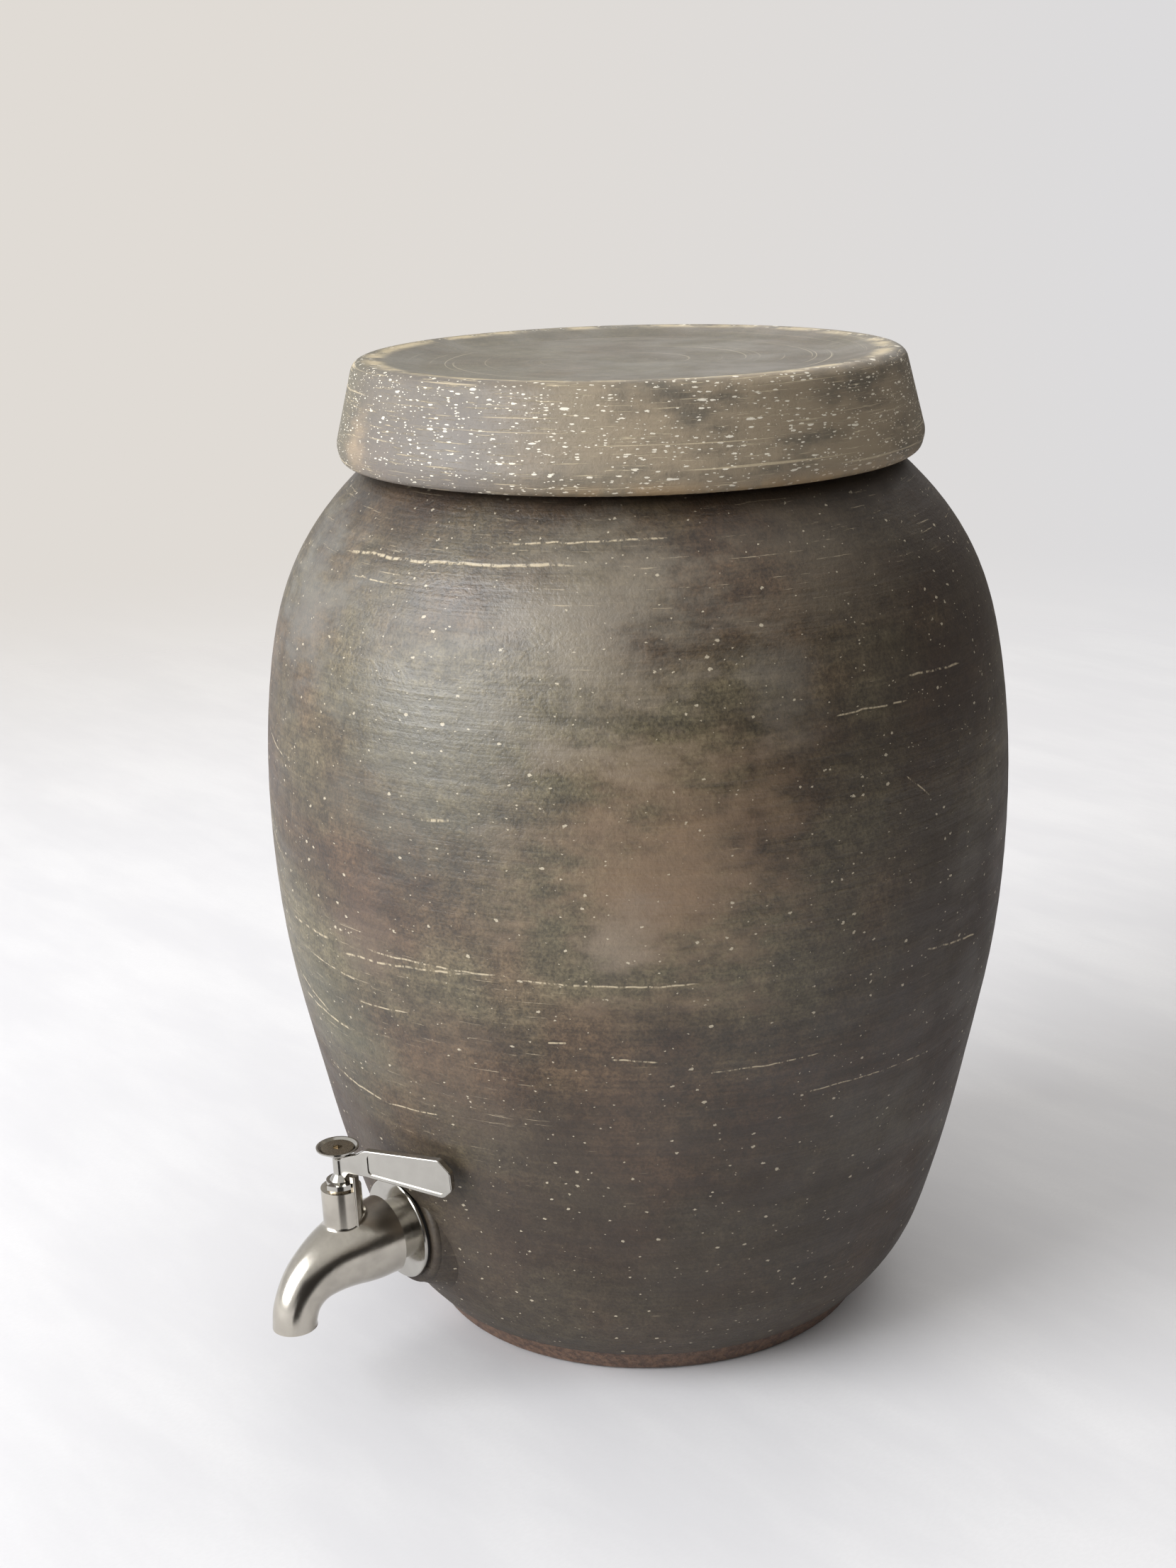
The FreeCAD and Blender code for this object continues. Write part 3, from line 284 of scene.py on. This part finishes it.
# %% One layer of grit
def grit(bench, spot, across_mm, tall_mm, size, crowd):
    """Mask of pale dots: cells of a width and height, dot size, and how many cells hold one."""
    grid = bench.stretch(spot.place, 1000 / across_mm, 1000 / across_mm, 1000 / tall_mm)
    ragged = bench.add("TexNoise", {"Vector": grid, "Scale": 2.6, "Detail": 3.0, "Roughness": 0.7})
    ragged = bench.stretch(ragged.outputs["Color"], 0.45, 0.45, 0.45)
    grid = bench.add("VectorMath", {0: ragged, 1: grid}, operation="ADD").outputs[0]
    cell = bench.add("TexVoronoi", {"Vector": grid, "Scale": 1.0})
    pick = bench.add("SeparateColor", {0: cell.outputs["Color"]})
    held = bench.math("LESS_THAN", pick.outputs[0], crowd)
    radius = bench.times(bench.plus(pick.outputs[1], 0.25), size)
    dot = bench.math("LESS_THAN", cell.outputs["Distance"], radius)
    return bench.times(dot, held)


print("grit layer ready")

# %% [markdown]
# ## Scratches
#
# Some thirty pale scratches run almost level round the pot, where grit was dragged under the
# thrower's rib. Each one is a line from one turn and height to another, thin, a little wavy
# and broken by noise. They are the same recipe with different numbers, so the recipe goes
# into a node group and each scratch is one node.

# %% The recipe for one scratch
def scratch_recipe():
    """Node group that gives the mask of one scratch."""
    tree = bpy.data.node_groups.new("one_scratch", "ShaderNodeTree")
    for name in ("Turn", "Height", "From", "To", "Low", "High", "Width", "Break"):
        tree.interface.new_socket(name, in_out="INPUT", socket_type="NodeSocketFloat")
    tree.interface.new_socket("Mask", in_out="OUTPUT", socket_type="NodeSocketFloat")
    bench = Bench(tree)
    given = tree.nodes.new("NodeGroupInput").outputs
    length = bench.math("SUBTRACT", given["To"], given["From"])
    along = bench.math("DIVIDE", bench.math("SUBTRACT", given["Turn"], given["From"]), length)
    rise = bench.math("SUBTRACT", given["High"], given["Low"])
    line = bench.plus(given["Low"], bench.times(rise, along))
    off = bench.math("ABSOLUTE", bench.math("SUBTRACT", given["Height"], line))
    ends = bench.times(bench.ease(along, 0.0, 0.08), bench.ease(along, 1.0, 0.86))
    stroke = bench.times(given["Width"], bench.plus(ends, 0.05))
    thin = bench.ease(bench.math("DIVIDE", off, stroke), 1.15, 0.30)
    out = tree.nodes.new("NodeGroupOutput")
    bench.feed(out.inputs["Mask"], bench.times(thin, given["Break"], ends))
    return tree


ONE_SCRATCH = scratch_recipe()
print("scratch recipe:", len(ONE_SCRATCH.nodes), "nodes")

# %% [markdown]
# Where each scratch begins and ends was read and rounded: turns to whole degrees,
# heights to half a millimetre. The back, which the photograph does not show, carries a few of
# the same kind.

# %% The scratches on the body
SCRATCHES = [
    # from turn, to turn, height there, height there, width, all heights and widths in mm
    (-98, -46, 286.0, 288.5, 0.50), (-64, -31, 293.5, 295.0, 0.30), (-92, -76, 279.5, 280.5, 0.25),
    (-71, -65, 211.5, 212.5, 0.55), (-11, 3, 241.0, 241.5, 0.32), (3, 17, 248.5, 247.0, 0.40),
    (1, 6, 218.0, 209.5, 0.35), (6, 22, 157.5, 152.0, 0.38), (-105, -91, 160.5, 161.0, 0.50),
    (-89, -63, 158.5, 163.0, 0.42), (-83, -58, 163.5, 163.5, 0.34), (-57, -30, 162.5, 162.0, 0.36),
    (-109, -96, 138.0, 131.0, 0.45), (-109, -89, 131.0, 129.0, 0.45), (-105, -84, 108.0, 104.5, 0.42),
    (-85, -72, 104.5, 108.0, 0.30), (-87, -75, 142.5, 144.5, 0.30), (-53, -50, 142.0, 142.5, 0.40),
    (-44, -37, 137.0, 136.0, 0.34), (-100, -84, 151.5, 150.0, 0.30), (-116, -104, 221.0, 216.0, 0.30),
    (-118, -106, 188.0, 178.0, 0.32), (-30, -12, 131.0, 132.0, 0.28), (-16, 12, 118.5, 117.5, 0.26),
    # the back
    (48, 76, 252.0, 254.0, 0.40), (92, 124, 160.5, 157.0, 0.42), (60, 88, 118.0, 121.0, 0.34),
    (128, 166, 284.5, 286.5, 0.42), (-172, -140, 149.0, 152.5, 0.40), (-158, -128, 236.0, 233.0, 0.36),
]
WAVE_MM = 2.6


def scratches(bench, spot):
    """Mask of all the scratches together."""
    wave = bench.noise(bench.stretch(spot.place, 1, 1, 0.2), 60, 3, 0.6)
    wave = bench.times(bench.math("SUBTRACT", wave, 0.5), WAVE_MM)
    height = bench.plus(bench.math("DIVIDE", spot.height, MM), wave)
    broken = bench.noise(bench.stretch(spot.place, 1, 1, 0.3), 420, 3, 0.7)
    broken = bench.ease(broken, 0.40, 0.56)
    total = 0.0
    for begin, end, low, high, width in SCRATCHES:
        feeds = {"Turn": spot.turn, "Height": height, "From": begin, "To": end,
                 "Low": low, "High": high, "Width": width, "Break": broken}
        mark = bench.add("Group", node_tree=ONE_SCRATCH)
        for name, value in feeds.items():
            bench.feed(mark.inputs[name], value)
        total = bench.math("MAXIMUM", mark.outputs[0], total)
    return total


print(len(SCRATCHES), "scratches")

# %% [markdown]
# ## The pot
#
# The body joins all of that. First come the clouds: a warm one right of the middle and the
# grey-green ones are where the flame touched the pot, the dark ones low down are painted shade,
# and the pale ones at the shoulder are painted light and highlight. Then more painted shade
# darkens the right side and the low part of the pot to brown, and the same mask makes it duller.

# %% Clouds and painted shade on the pot
# Pale clouds at the shoulder are painted light; dark clouds low down and on the right are painted
# shade; the rest are the clay's own colour.
CLOUDS = [
    # turn, height, reach and spread in mm, colour, strength
    (-37, 200, 129, 54, (136, 112, 88), 0.80),
    (-43, 174, 129, 17, (134, 124, 110), 0.45),
    (-18, 252, 122, 18, (122, 116, 106), 0.50),
    (-46, 268, 116, 44, (134, 124, 108), 0.80),
    (-104, 268, 116, 40, (120, 118, 112), 0.70),
    (-83, 168, 128, 24, (104, 84, 71), 0.50),
    (-70, 232, 127, 46, (96, 93, 82), 0.50),
    (-96, 130, 124, 38, (80, 80, 64), 0.50),
    (-50, 96, 118, 48, (62, 52, 42), 0.65),
    (-8, 92, 117, 56, (56, 45, 34), 0.75),
    (10, 180, 129, 56, (58, 46, 34), 0.75),
    (-80, 54, 107, 34, (70, 60, 49), 0.50),
    (-70, 122, 122, 30, (104, 88, 70), 0.40),
    (-97, 84, 114, 18, (118, 110, 97), 0.45),
    (-8, 284, 106, 34, (112, 98, 78), 0.70),
    (120, 190, 129, 60, (96, 79, 64), 0.60),
    (-160, 210, 129, 55, (84, 82, 70), 0.60),
    (80, 100, 118, 60, (60, 50, 40), 0.60),
    (-28, 40, 104, 34, (72, 60, 48), 0.50),
]

finish, bench, shader = start_finish("smoked_clay", Specular_IOR_Level=0.75)
spot = Spot(bench)
colour, relief = clay_ground(bench, spot)
for turn_at, height, reach, spread, shade, strength in CLOUDS:
    share = bench.times(cloud(bench, spot, turn_at, height, reach, spread), strength)
    colour = bench.blend(share, colour, bench.blend(0.5, colour, tone(*shade)))
    colour = bench.paint(colour, share, 0.5, shade)

patchy = bench.noise(spot.place, 22, 4, 0.6)
right_side = bench.times(bench.ease(spot.turn, -34, 22), bench.ease(spot.turn, 150, 95))
right_side = bench.times(right_side, bench.ease(patchy, 0.25, 0.60, 0.55, 1.0))
low_part = bench.ease(bench.plus(spot.height, bench.times(patchy, 60 * MM)), 175 * MM, 85 * MM)
painted_shade = bench.math("MAXIMUM", right_side, bench.times(low_part, 0.80))
# Painted shade: the right side and the low part of the pot are darkened to deep brown.
colour = bench.paint(colour, painted_shade, 0.80, (38, 22, 9))
print(len(CLOUDS), "clouds and the soot on the pot")

# %% [markdown]
# Over the clouds lie the marks: two sizes of pale grit, fine drag lines on a band round the
# tap's side and at the crown, and the scratches.

# %% Grit, drag lines and scratches on the pot
coarse = grit(bench, spot, 4.4, 3.0, 0.14, 0.42)
fine = grit(bench, spot, 2.4, 1.6, 0.13, 0.32)
dots = bench.math("MAXIMUM", coarse, fine)
colour = bench.paint(colour, dots, 0.75, (196, 184, 160))
band = bench.times(
    bench.ease(spot.height, 85 * MM, 110 * MM),
    bench.ease(spot.height, 185 * MM, 155 * MM),
    bench.ease(spot.turned_from(-90), 55, 25),
)
crown = bench.ease(spot.height, 262 * MM, 285 * MM)
more = bench.times(bench.math("MAXIMUM", band, crown), 0.06)
drag = bench.noise(bench.stretch(spot.place, 42, 42, 1300), 1, 4, 0.75)
drag = bench.ease(bench.plus(drag, more), 0.69, 0.74)
colour = bench.paint(colour, drag, 0.60, (180, 164, 136))
lines = scratches(bench, spot)
colour = bench.paint(colour, lines, 0.75, (196, 180, 150))
print("pot colour uses", len(bench.tree.nodes), "nodes")

# %% [markdown]
# The foot was left rougher and browner than the rest, with a cut line above it. The lid keeps
# the light off the shoulder right below it, and that shade is painted in a little darker.

# %% Foot band, shade, relief and gloss of the pot
FOOT_TOP, LINE_TOP = 8.8, 10.2
SHADE_LOW, SHADE_HIGH = 296, 308

foot = bench.ease(spot.height, (FOOT_TOP + 0.5) * MM, (FOOT_TOP - 0.3) * MM)
rough_foot = bench.noise(spot.place, 420, 4, 0.7)
foot_colour = bench.blend(bench.ease(rough_foot, 0.35, 0.65), tone(70, 50, 38), tone(112, 84, 64))
colour = bench.blend(foot, colour, foot_colour)
shade = bench.ease(spot.height, SHADE_LOW * MM, SHADE_HIGH * MM)
colour = bench.paint(colour, shade, 0.75, (28, 22, 17))
below_line_top = bench.ease(spot.height, (LINE_TOP + 0.9) * MM, (LINE_TOP - 0.1) * MM)
above_foot = bench.ease(spot.height, (FOOT_TOP - 0.3) * MM, (FOOT_TOP + 0.3) * MM)
colour = bench.paint(colour, bench.times(below_line_top, above_foot), 0.8, (38, 30, 25))
relief = bench.plus(relief, bench.times(foot, rough_foot, 0.5), bench.times(lines, -0.05))
gloss = bench.ease(bench.noise(bench.stretch(spot.place, 1, 1, 3), 30, 4, 0.6), 0.3, 0.7, 0.38, 0.52)
# Where the shade is painted, the clay is also made rougher.
gloss = bench.plus(gloss, bench.times(painted_shade, 0.24))
end_finish(bench, shader, colour, gloss, relief, 0.9, 1.0)
dress("pot_body", finish)

# %% [markdown]
# ## The lid
#
# The lid was handled most, so its side is crowded with pale chips and fine drag lines, and its
# lower front edge is worn to bare tan clay. Its ridge is painted pale, partly as worn clay and
# partly as a painted highlight, and its left side gets a painted sheen. Its top keeps the
# rings of the wheel. Masks made from height and reach tell the side, the ridge and the top apart.

# %% Where the lid is worn, and its painted sheen
RIDGE_INSET = 13.5

lid_low, lid_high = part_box("lid")
ridge_reach = lid_high.x - RIDGE_INSET * MM
finish, bench, shader = start_finish("worn_lid_clay", Specular_IOR_Level=0.5)
spot = Spot(bench)
colour, relief = clay_ground(bench, spot)
top = bench.ease(spot.reach, ridge_reach + 1.5 * MM, ridge_reach - 3 * MM)
side = bench.math("SUBTRACT", 1.0, top)
facing = bench.ease(spot.turned_from(-12), 62, 20)
left_sheen = bench.ease(spot.turned_from(-82), 34, 10)
worn = bench.noise(bench.stretch(spot.place, 1, 1, 2.4), 34, 4, 0.65)
warm = bench.times(facing, side, bench.ease(worn, 0.28, 0.58))
colour = bench.blend(0.49, colour, tone(128, 123, 110))
# Painted highlight: the left side of the lid is lightened to a grey sheen.
colour = bench.paint(colour, bench.times(left_sheen, side), 0.35, (130, 123, 122))
colour = bench.paint(colour, warm, 0.75, (160, 144, 120))
print("ridge", round(ridge_reach / MM, 1), "mm from the axis")

# %% [markdown]
# The chips come in three sizes. The two finer ones crowd together in patches, and the coarse
# one is strewn over the whole side. Drag lines come in two widths.

# %% Chips and drag lines on the lid
crowding = bench.ease(bench.noise(bench.stretch(spot.place, 1, 1, 1.6), 60, 4, 0.75), 0.30, 0.52)
crowded = bench.math("GREATER_THAN", bench.plus(bench.times(crowding, 0.9), 0.1), 0.45)
middle = grit(bench, spot, 3.4, 1.0, 0.25, 0.62)
fine = grit(bench, spot, 1.7, 0.7, 0.26, 0.45)
coarse = grit(bench, spot, 6.5, 1.9, 0.19, 0.32)
chips = bench.times(bench.math("MAXIMUM", middle, fine), side, crowded)
chips = bench.math("MAXIMUM", chips, bench.times(coarse, side))
broad = bench.noise(bench.stretch(spot.place, 60, 60, 1900), 1, 4, 0.75)
thread = bench.noise(bench.stretch(spot.place, 10, 10, 700), 1, 2, 0.6)
drag = bench.math("MAXIMUM", bench.ease(broad, 0.575, 0.65), bench.ease(thread, 0.635, 0.68))
drag = bench.times(drag, side)
colour = bench.paint(colour, chips, 0.92, (232, 224, 206))
colour = bench.paint(colour, drag, 0.65, (200, 184, 154))
print("chips in three sizes and drag lines in two")

# %% [markdown]
# The rings on the top are a noise read along the reach, so they close round the axis. The
# hollow under the lid is painted darker, as shade.

# %% Ridge, top rings, worn edge and painted hollow shade of the lid
RIDGE_LOW, RIDGE_HIGH = 337, 339
HOLLOW_REACH = 91
HOLLOW_TOP = 333

from_ridge = bench.math("ABSOLUTE", bench.math("SUBTRACT", spot.reach, ridge_reach))
patchy = bench.noise(bench.stretch(spot.place, 1, 1, 0.5), 70, 4, 0.65)
# The ridge is painted pale tan, partly as worn bare clay and partly as a painted highlight along its
# rounded edge.
ridge = bench.times(
    bench.ease(from_ridge, 5.0 * MM, 0.5 * MM),
    bench.ease(patchy, 0.38, 0.58),
    bench.ease(spot.height, RIDGE_LOW * MM, RIDGE_HIGH * MM),
)
colour = bench.paint(colour, ridge, 0.75, (204, 186, 150))
swirl = bench.add("CombineXYZ", {0: bench.times(spot.reach, 900)}).outputs[0]
swirl = bench.add("VectorMath", {0: swirl, 1: bench.stretch(spot.place, 9, 9, 0)}, operation="ADD")
wheel = bench.noise(swirl.outputs[0], 1, 3, 0.65)
colour = bench.paint(colour, bench.times(bench.ease(wheel, 0.62, 0.68), top), 0.60, (186, 174, 150))
lip = bench.ease(spot.height, lid_low.z + 5.5 * MM, lid_low.z + 0.5 * MM)
lip = bench.times(lip, facing, bench.ease(patchy, 0.35, 0.60))
colour = bench.paint(colour, lip, 0.60, (176, 146, 106))
beige = cloud(bench, spot, -104, 318, 97, 13)
colour = bench.paint(colour, beige, 0.45, (184, 160, 132))
# Painted shade: the hollow under the lid is darkened.
under = bench.ease(spot.reach, (HOLLOW_REACH + 0.5) * MM, (HOLLOW_REACH - 0.5) * MM)
under = bench.times(under, bench.ease(spot.height, HOLLOW_TOP * MM, (HOLLOW_TOP - 3) * MM))
colour = bench.blend(under, colour, tone(58, 50, 43))
cuts = bench.math("MAXIMUM", chips, drag)
relief = bench.plus(relief, bench.times(wheel, top, 0.22), bench.times(cuts, -0.08))
gloss = bench.ease(bench.noise(spot.place, 40, 4, 0.6), 0.3, 0.7, 0.48, 0.66)
end_finish(bench, shader, colour, gloss, relief, 0.9, 1.0)
dress("lid", finish)

# %% [markdown]
# ## Steel
#
# The tap is polished and then lightly brushed along its length. Metal has almost no colour of
# its own: it shows the room, so most of its look is gloss. Fine lines, one noise stretched
# along the tube, change the gloss a little from line to line. The plate and the lever mirror
# more sharply, because they were only polished.

# %% Three steels
def steel(name, shade, gloss_low, gloss_high, brush, brush_depth, grime):
    """Steel whose brush lines run along one direction of a stretched ruler."""
    finish, bench, shader = start_finish(name, Metallic=1.0)
    place = bench.add("TexCoord").outputs["Object"]
    lines = bench.noise(bench.stretch(place, *brush), 1, 3, 0.6)
    haze = bench.noise(place, 90, 4, 0.6)
    dull = tuple(c * grime for c in tone(*shade)[:3]) + (1.0,)
    colour = bench.blend(bench.ease(haze, 0.35, 0.70), tone(*shade), dull)
    rough = bench.plus(bench.times(lines, 0.6), bench.times(haze, 0.4))
    gloss = bench.ease(rough, 0.35, 0.65, gloss_low, gloss_high)
    end_finish(bench, shader, colour, gloss, lines, brush_depth, 0.05)
    return finish


satin = steel("satin_steel", (196, 190, 179), 0.17, 0.24, (5200, 300, 5200), 0.20, 0.80)
bright = steel("polished_steel", (190, 187, 180), 0.12, 0.20, (900, 900, 2600), 0.06, 0.90)
turned = steel("turned_steel", (168, 158, 142), 0.20, 0.32, (1800, 1800, 1800), 0.14, 0.78)
dress("tap_body", satin)
for name in ("escutcheon", "handle"):
    dress(name, bright)
for name in ("handle_screw", "gland_ring", "valve_plug", "lock_nut", "backing_washer"):
    dress(name, turned)

# %% [markdown]
# ## Rubber and plastic
#
# The gaskets and seals are black rubber, the valve's sleeve and slip washer a waxy white
# plastic. Little of them shows, only a dark line round the plate. They still get a grain,
# because a flat grey looks like a missing part.

# %% Gaskets, seals and sleeve
def moulded(name, dark, light, gloss_low, gloss_high, grain_scale):
    """Moulded rubber or plastic: two close shades, a fine grain and an uneven gloss."""
    finish, bench, shader = start_finish(name)
    place = bench.add("TexCoord").outputs["Object"]
    grain = bench.noise(place, grain_scale, 3, 0.6)
    colour = bench.blend(bench.ease(grain, 0.35, 0.65), tone(*dark), tone(*light))
    gloss = bench.ease(grain, 0.3, 0.7, gloss_low, gloss_high)
    end_finish(bench, shader, colour, gloss, grain, 0.3, 0.1)
    return finish


rubber = moulded("black_rubber", (26, 26, 26), (40, 39, 38), 0.55, 0.75, 1600)
plastic = moulded("waxy_plastic", (222, 221, 214), (236, 235, 230), 0.35, 0.50, 900)
for name in ("outer_gasket", "inner_gasket", "stem_seals"):
    dress(name, rubber)
for name in ("plug_sleeve", "thrust_washer"):
    dress(name, plastic)

# %% [markdown]
# ## The floor
#
# A pale sheet lies under the pot. It is one wide disc whose edge fades out into the background,
# so there is no horizon line, and it keeps the pot's shadow. It is no part of the pot.

# %% Pale floor
def make_floor(radius, rings, sides):
    """Flat disc made of rings of faces."""
    points = [(0.0, 0.0, 0.0)]
    faces = []
    for ring in range(1, rings + 1):
        reach = radius * ring / rings
        for side in range(sides):
            angle = 2 * math.pi * side / sides
            points.append((reach * math.cos(angle), reach * math.sin(angle), 0.0))
    for side in range(sides):
        following = (side + 1) % sides
        faces.append((0, 1 + side, 1 + following))
        for ring in range(1, rings):
            inner = 1 + (ring - 1) * sides
            outer = inner + sides
            faces.append((inner + side, outer + side, outer + following, inner + following))
    mesh = bpy.data.meshes.new("floor")
    mesh.from_pydata(points, [], faces)
    return bpy.data.objects.new("floor", mesh)


floor = make_floor(3.2, 4, 96)
floor.location.z = -0.2 * MM
bpy.context.scene.collection.objects.link(floor)
finish, bench, shader = start_finish("pale_sheet")
spot = Spot(bench)
soft = bench.noise(bench.stretch(spot.place, 1, 3, 1), 6, 4, 0.6)
weave = bench.noise(bench.stretch(spot.place, 900, 420, 1), 1, 2, 0.6)
colour = bench.blend(bench.ease(soft, 0.35, 0.70), tone(214, 213, 215), tone(222, 221, 222))
colour = bench.blend(bench.ease(weave, 0.3, 0.7, 0, 0.25), colour, tone(212, 211, 212))
end_finish(bench, shader, colour, 0.9, weave, 0.15, 0.2)
clear = bench.add("BsdfTransparent").outputs[0]
far_out = bench.ease(spot.reach, 0.45, 1.5)
fade = bench.add("MixShader", {0: far_out, 1: shader.outputs[0], 2: clear})
sheet_out = next(n for n in bench.tree.nodes if n.type == "OUTPUT_MATERIAL")
bench.feed(sheet_out.inputs["Surface"], fade.outputs[0])
floor.data.materials.append(finish)
print("floor", round(floor.dimensions.x, 1), "m across")

# %% [markdown]
# ## Light
#
# The room in the photograph is pale, with a large window to the left. The world is brighter
# overhead than at the sides, as under a pale ceiling, and one big soft lamp stands for the
# window. The camera sees an even pale wall and reflections see a room that darkens to the
# right, so the background can be bright without lighting the pot more.

# %% World and background
world = bpy.data.worlds.new("studio")
bpy.context.scene.world = world
world.use_nodes = True
bench = Bench(world.node_tree)
fill = next(n for n in world.node_tree.nodes if n.type == "BACKGROUND")
fill.inputs["Strength"].default_value = 0.98
toward = bench.add("TexCoord").outputs["Generated"]
up = bench.add("SeparateXYZ", {0: toward}).outputs["Z"]
rightward = bench.add("VectorMath", {0: toward, 1: TO_RIGHT}, operation="DOT_PRODUCT").outputs["Value"]
sky = bench.blend(bench.ease(rightward, -0.9, 0.7), tone(150, 150, 152), tone(76, 70, 64))
sky = bench.blend(bench.ease(up, 0.05, 0.85), sky, tone(246, 245, 243))
bench.feed(fill.inputs["Color"], sky)
wall = bench.blend(bench.ease(rightward, -0.2, 0.4), tone(224, 219, 213), tone(219, 219, 222))
wall = bench.blend(bench.ease(up, -0.15, -0.5), wall, tone(224, 223, 224))
pale = bench.add("Background", {"Color": wall, "Strength": 1.0})
room = bench.blend(bench.ease(rightward, -0.7, 0.5), tone(226, 226, 227), tone(112, 104, 95))
room = bench.blend(bench.ease(up, 0.25, 0.8), room, tone(222, 221, 219))
mirrored = bench.add("Background", {"Color": room, "Strength": 1.0})
ray = bench.add("LightPath").outputs
both = bench.add("MixShader", {0: ray["Is Glossy Ray"], 1: fill.outputs[0], 2: mirrored.outputs[0]})
seen = bench.math("MAXIMUM", ray["Is Camera Ray"], ray["Is Transmission Ray"])
both = bench.add("MixShader", {0: seen, 1: both.outputs[0], 2: pale.outputs[0]})
out = next(n for n in world.node_tree.nodes if n.type == "OUTPUT_WORLD")
bench.feed(out.inputs["Surface"], both.outputs[0])
print("world fill", fill.inputs["Strength"].default_value)

# %% [markdown]
# The window's lamp stands to the left and in front, and a weak one behind lifts the far edge.

# %% Window lamps
CENTRE = Vector((0, 0, 0.18))


def soft_lamp(name, place, wide, tall, power, shade):
    """Area lamp of a width and height in metres, aimed at the middle of the pot."""
    lamp = bpy.data.objects.new(name, bpy.data.lights.new(name, "AREA"))
    lamp.data.shape = "RECTANGLE"
    lamp.data.size = wide
    lamp.data.size_y = tall
    lamp.data.energy = power
    lamp.data.color = tone(*shade)[:3]
    aim = (CENTRE - place).to_track_quat("-Z", "Y").to_matrix().to_4x4()
    lamp.matrix_world = Matrix.Translation(place) @ aim
    bpy.context.scene.collection.objects.link(lamp)
    print(name, power, "W")


soft_lamp("window", from_camera(-2.0, -1.05, 1.15), 1.9, 1.7, 92, (250, 252, 255))
soft_lamp("far_window", from_camera(0.5, 1.6, 1.2), 1.2, 0.8, 7, (255, 252, 248))

# %% [markdown]
# Dark cards, unseen by the camera, give the steel its dark streaks. Two stand for the unlit
# side of the room, behind the camera and right of it. A small one close to the tap is only
# mirrored and casts no shadow, as a photographer holds a flag beside bright metal.

# %% Dark cards
CARDS = {
    # right, back and up of each corner
    "card_behind": ((-0.6, -1.6, 0.02), (2.2, -1.6, 0.02), (2.2, -1.6, 0.75), (-0.6, -1.6, 0.75)),
    "card_right": ((1.6, -1.6, 0.02), (1.6, 0.5, 0.02), (1.6, 0.5, 1.0), (1.6, -1.6, 1.0)),
    "card_tap": ((-0.13, -0.20, 0.0), (-0.05, -0.20, 0.0), (-0.05, -0.20, 0.07), (-0.13, -0.20, 0.07)),
}
ONLY_MIRRORED = ("card_tap",)

finish, bench, shader = start_finish("dark_cloth", Roughness=1.0)
grain = bench.noise(bench.add("TexCoord").outputs["Object"], 30, 2)
bench.feed(shader.inputs["Base Color"], bench.blend(grain, tone(40, 37, 34), tone(56, 51, 46)))
for name, corners in CARDS.items():
    card = bpy.data.objects.new(name, bpy.data.meshes.new(name))
    card.data.from_pydata([tuple(from_camera(*corner)) for corner in corners], [], [(0, 1, 2, 3)])
    bpy.context.scene.collection.objects.link(card)
    card.data.materials.append(finish)
    card.visible_camera = False
    card.visible_diffuse = name not in ONLY_MIRRORED
    card.visible_shadow = name not in ONLY_MIRRORED
print(len(CARDS), "dark cards")

# %% [markdown]
# ## Last settings
#
# The picture is shown as plain sRGB, so a colour looks as it was written.

# %% Show colours as written
bpy.context.scene.view_settings.view_transform = "Standard"
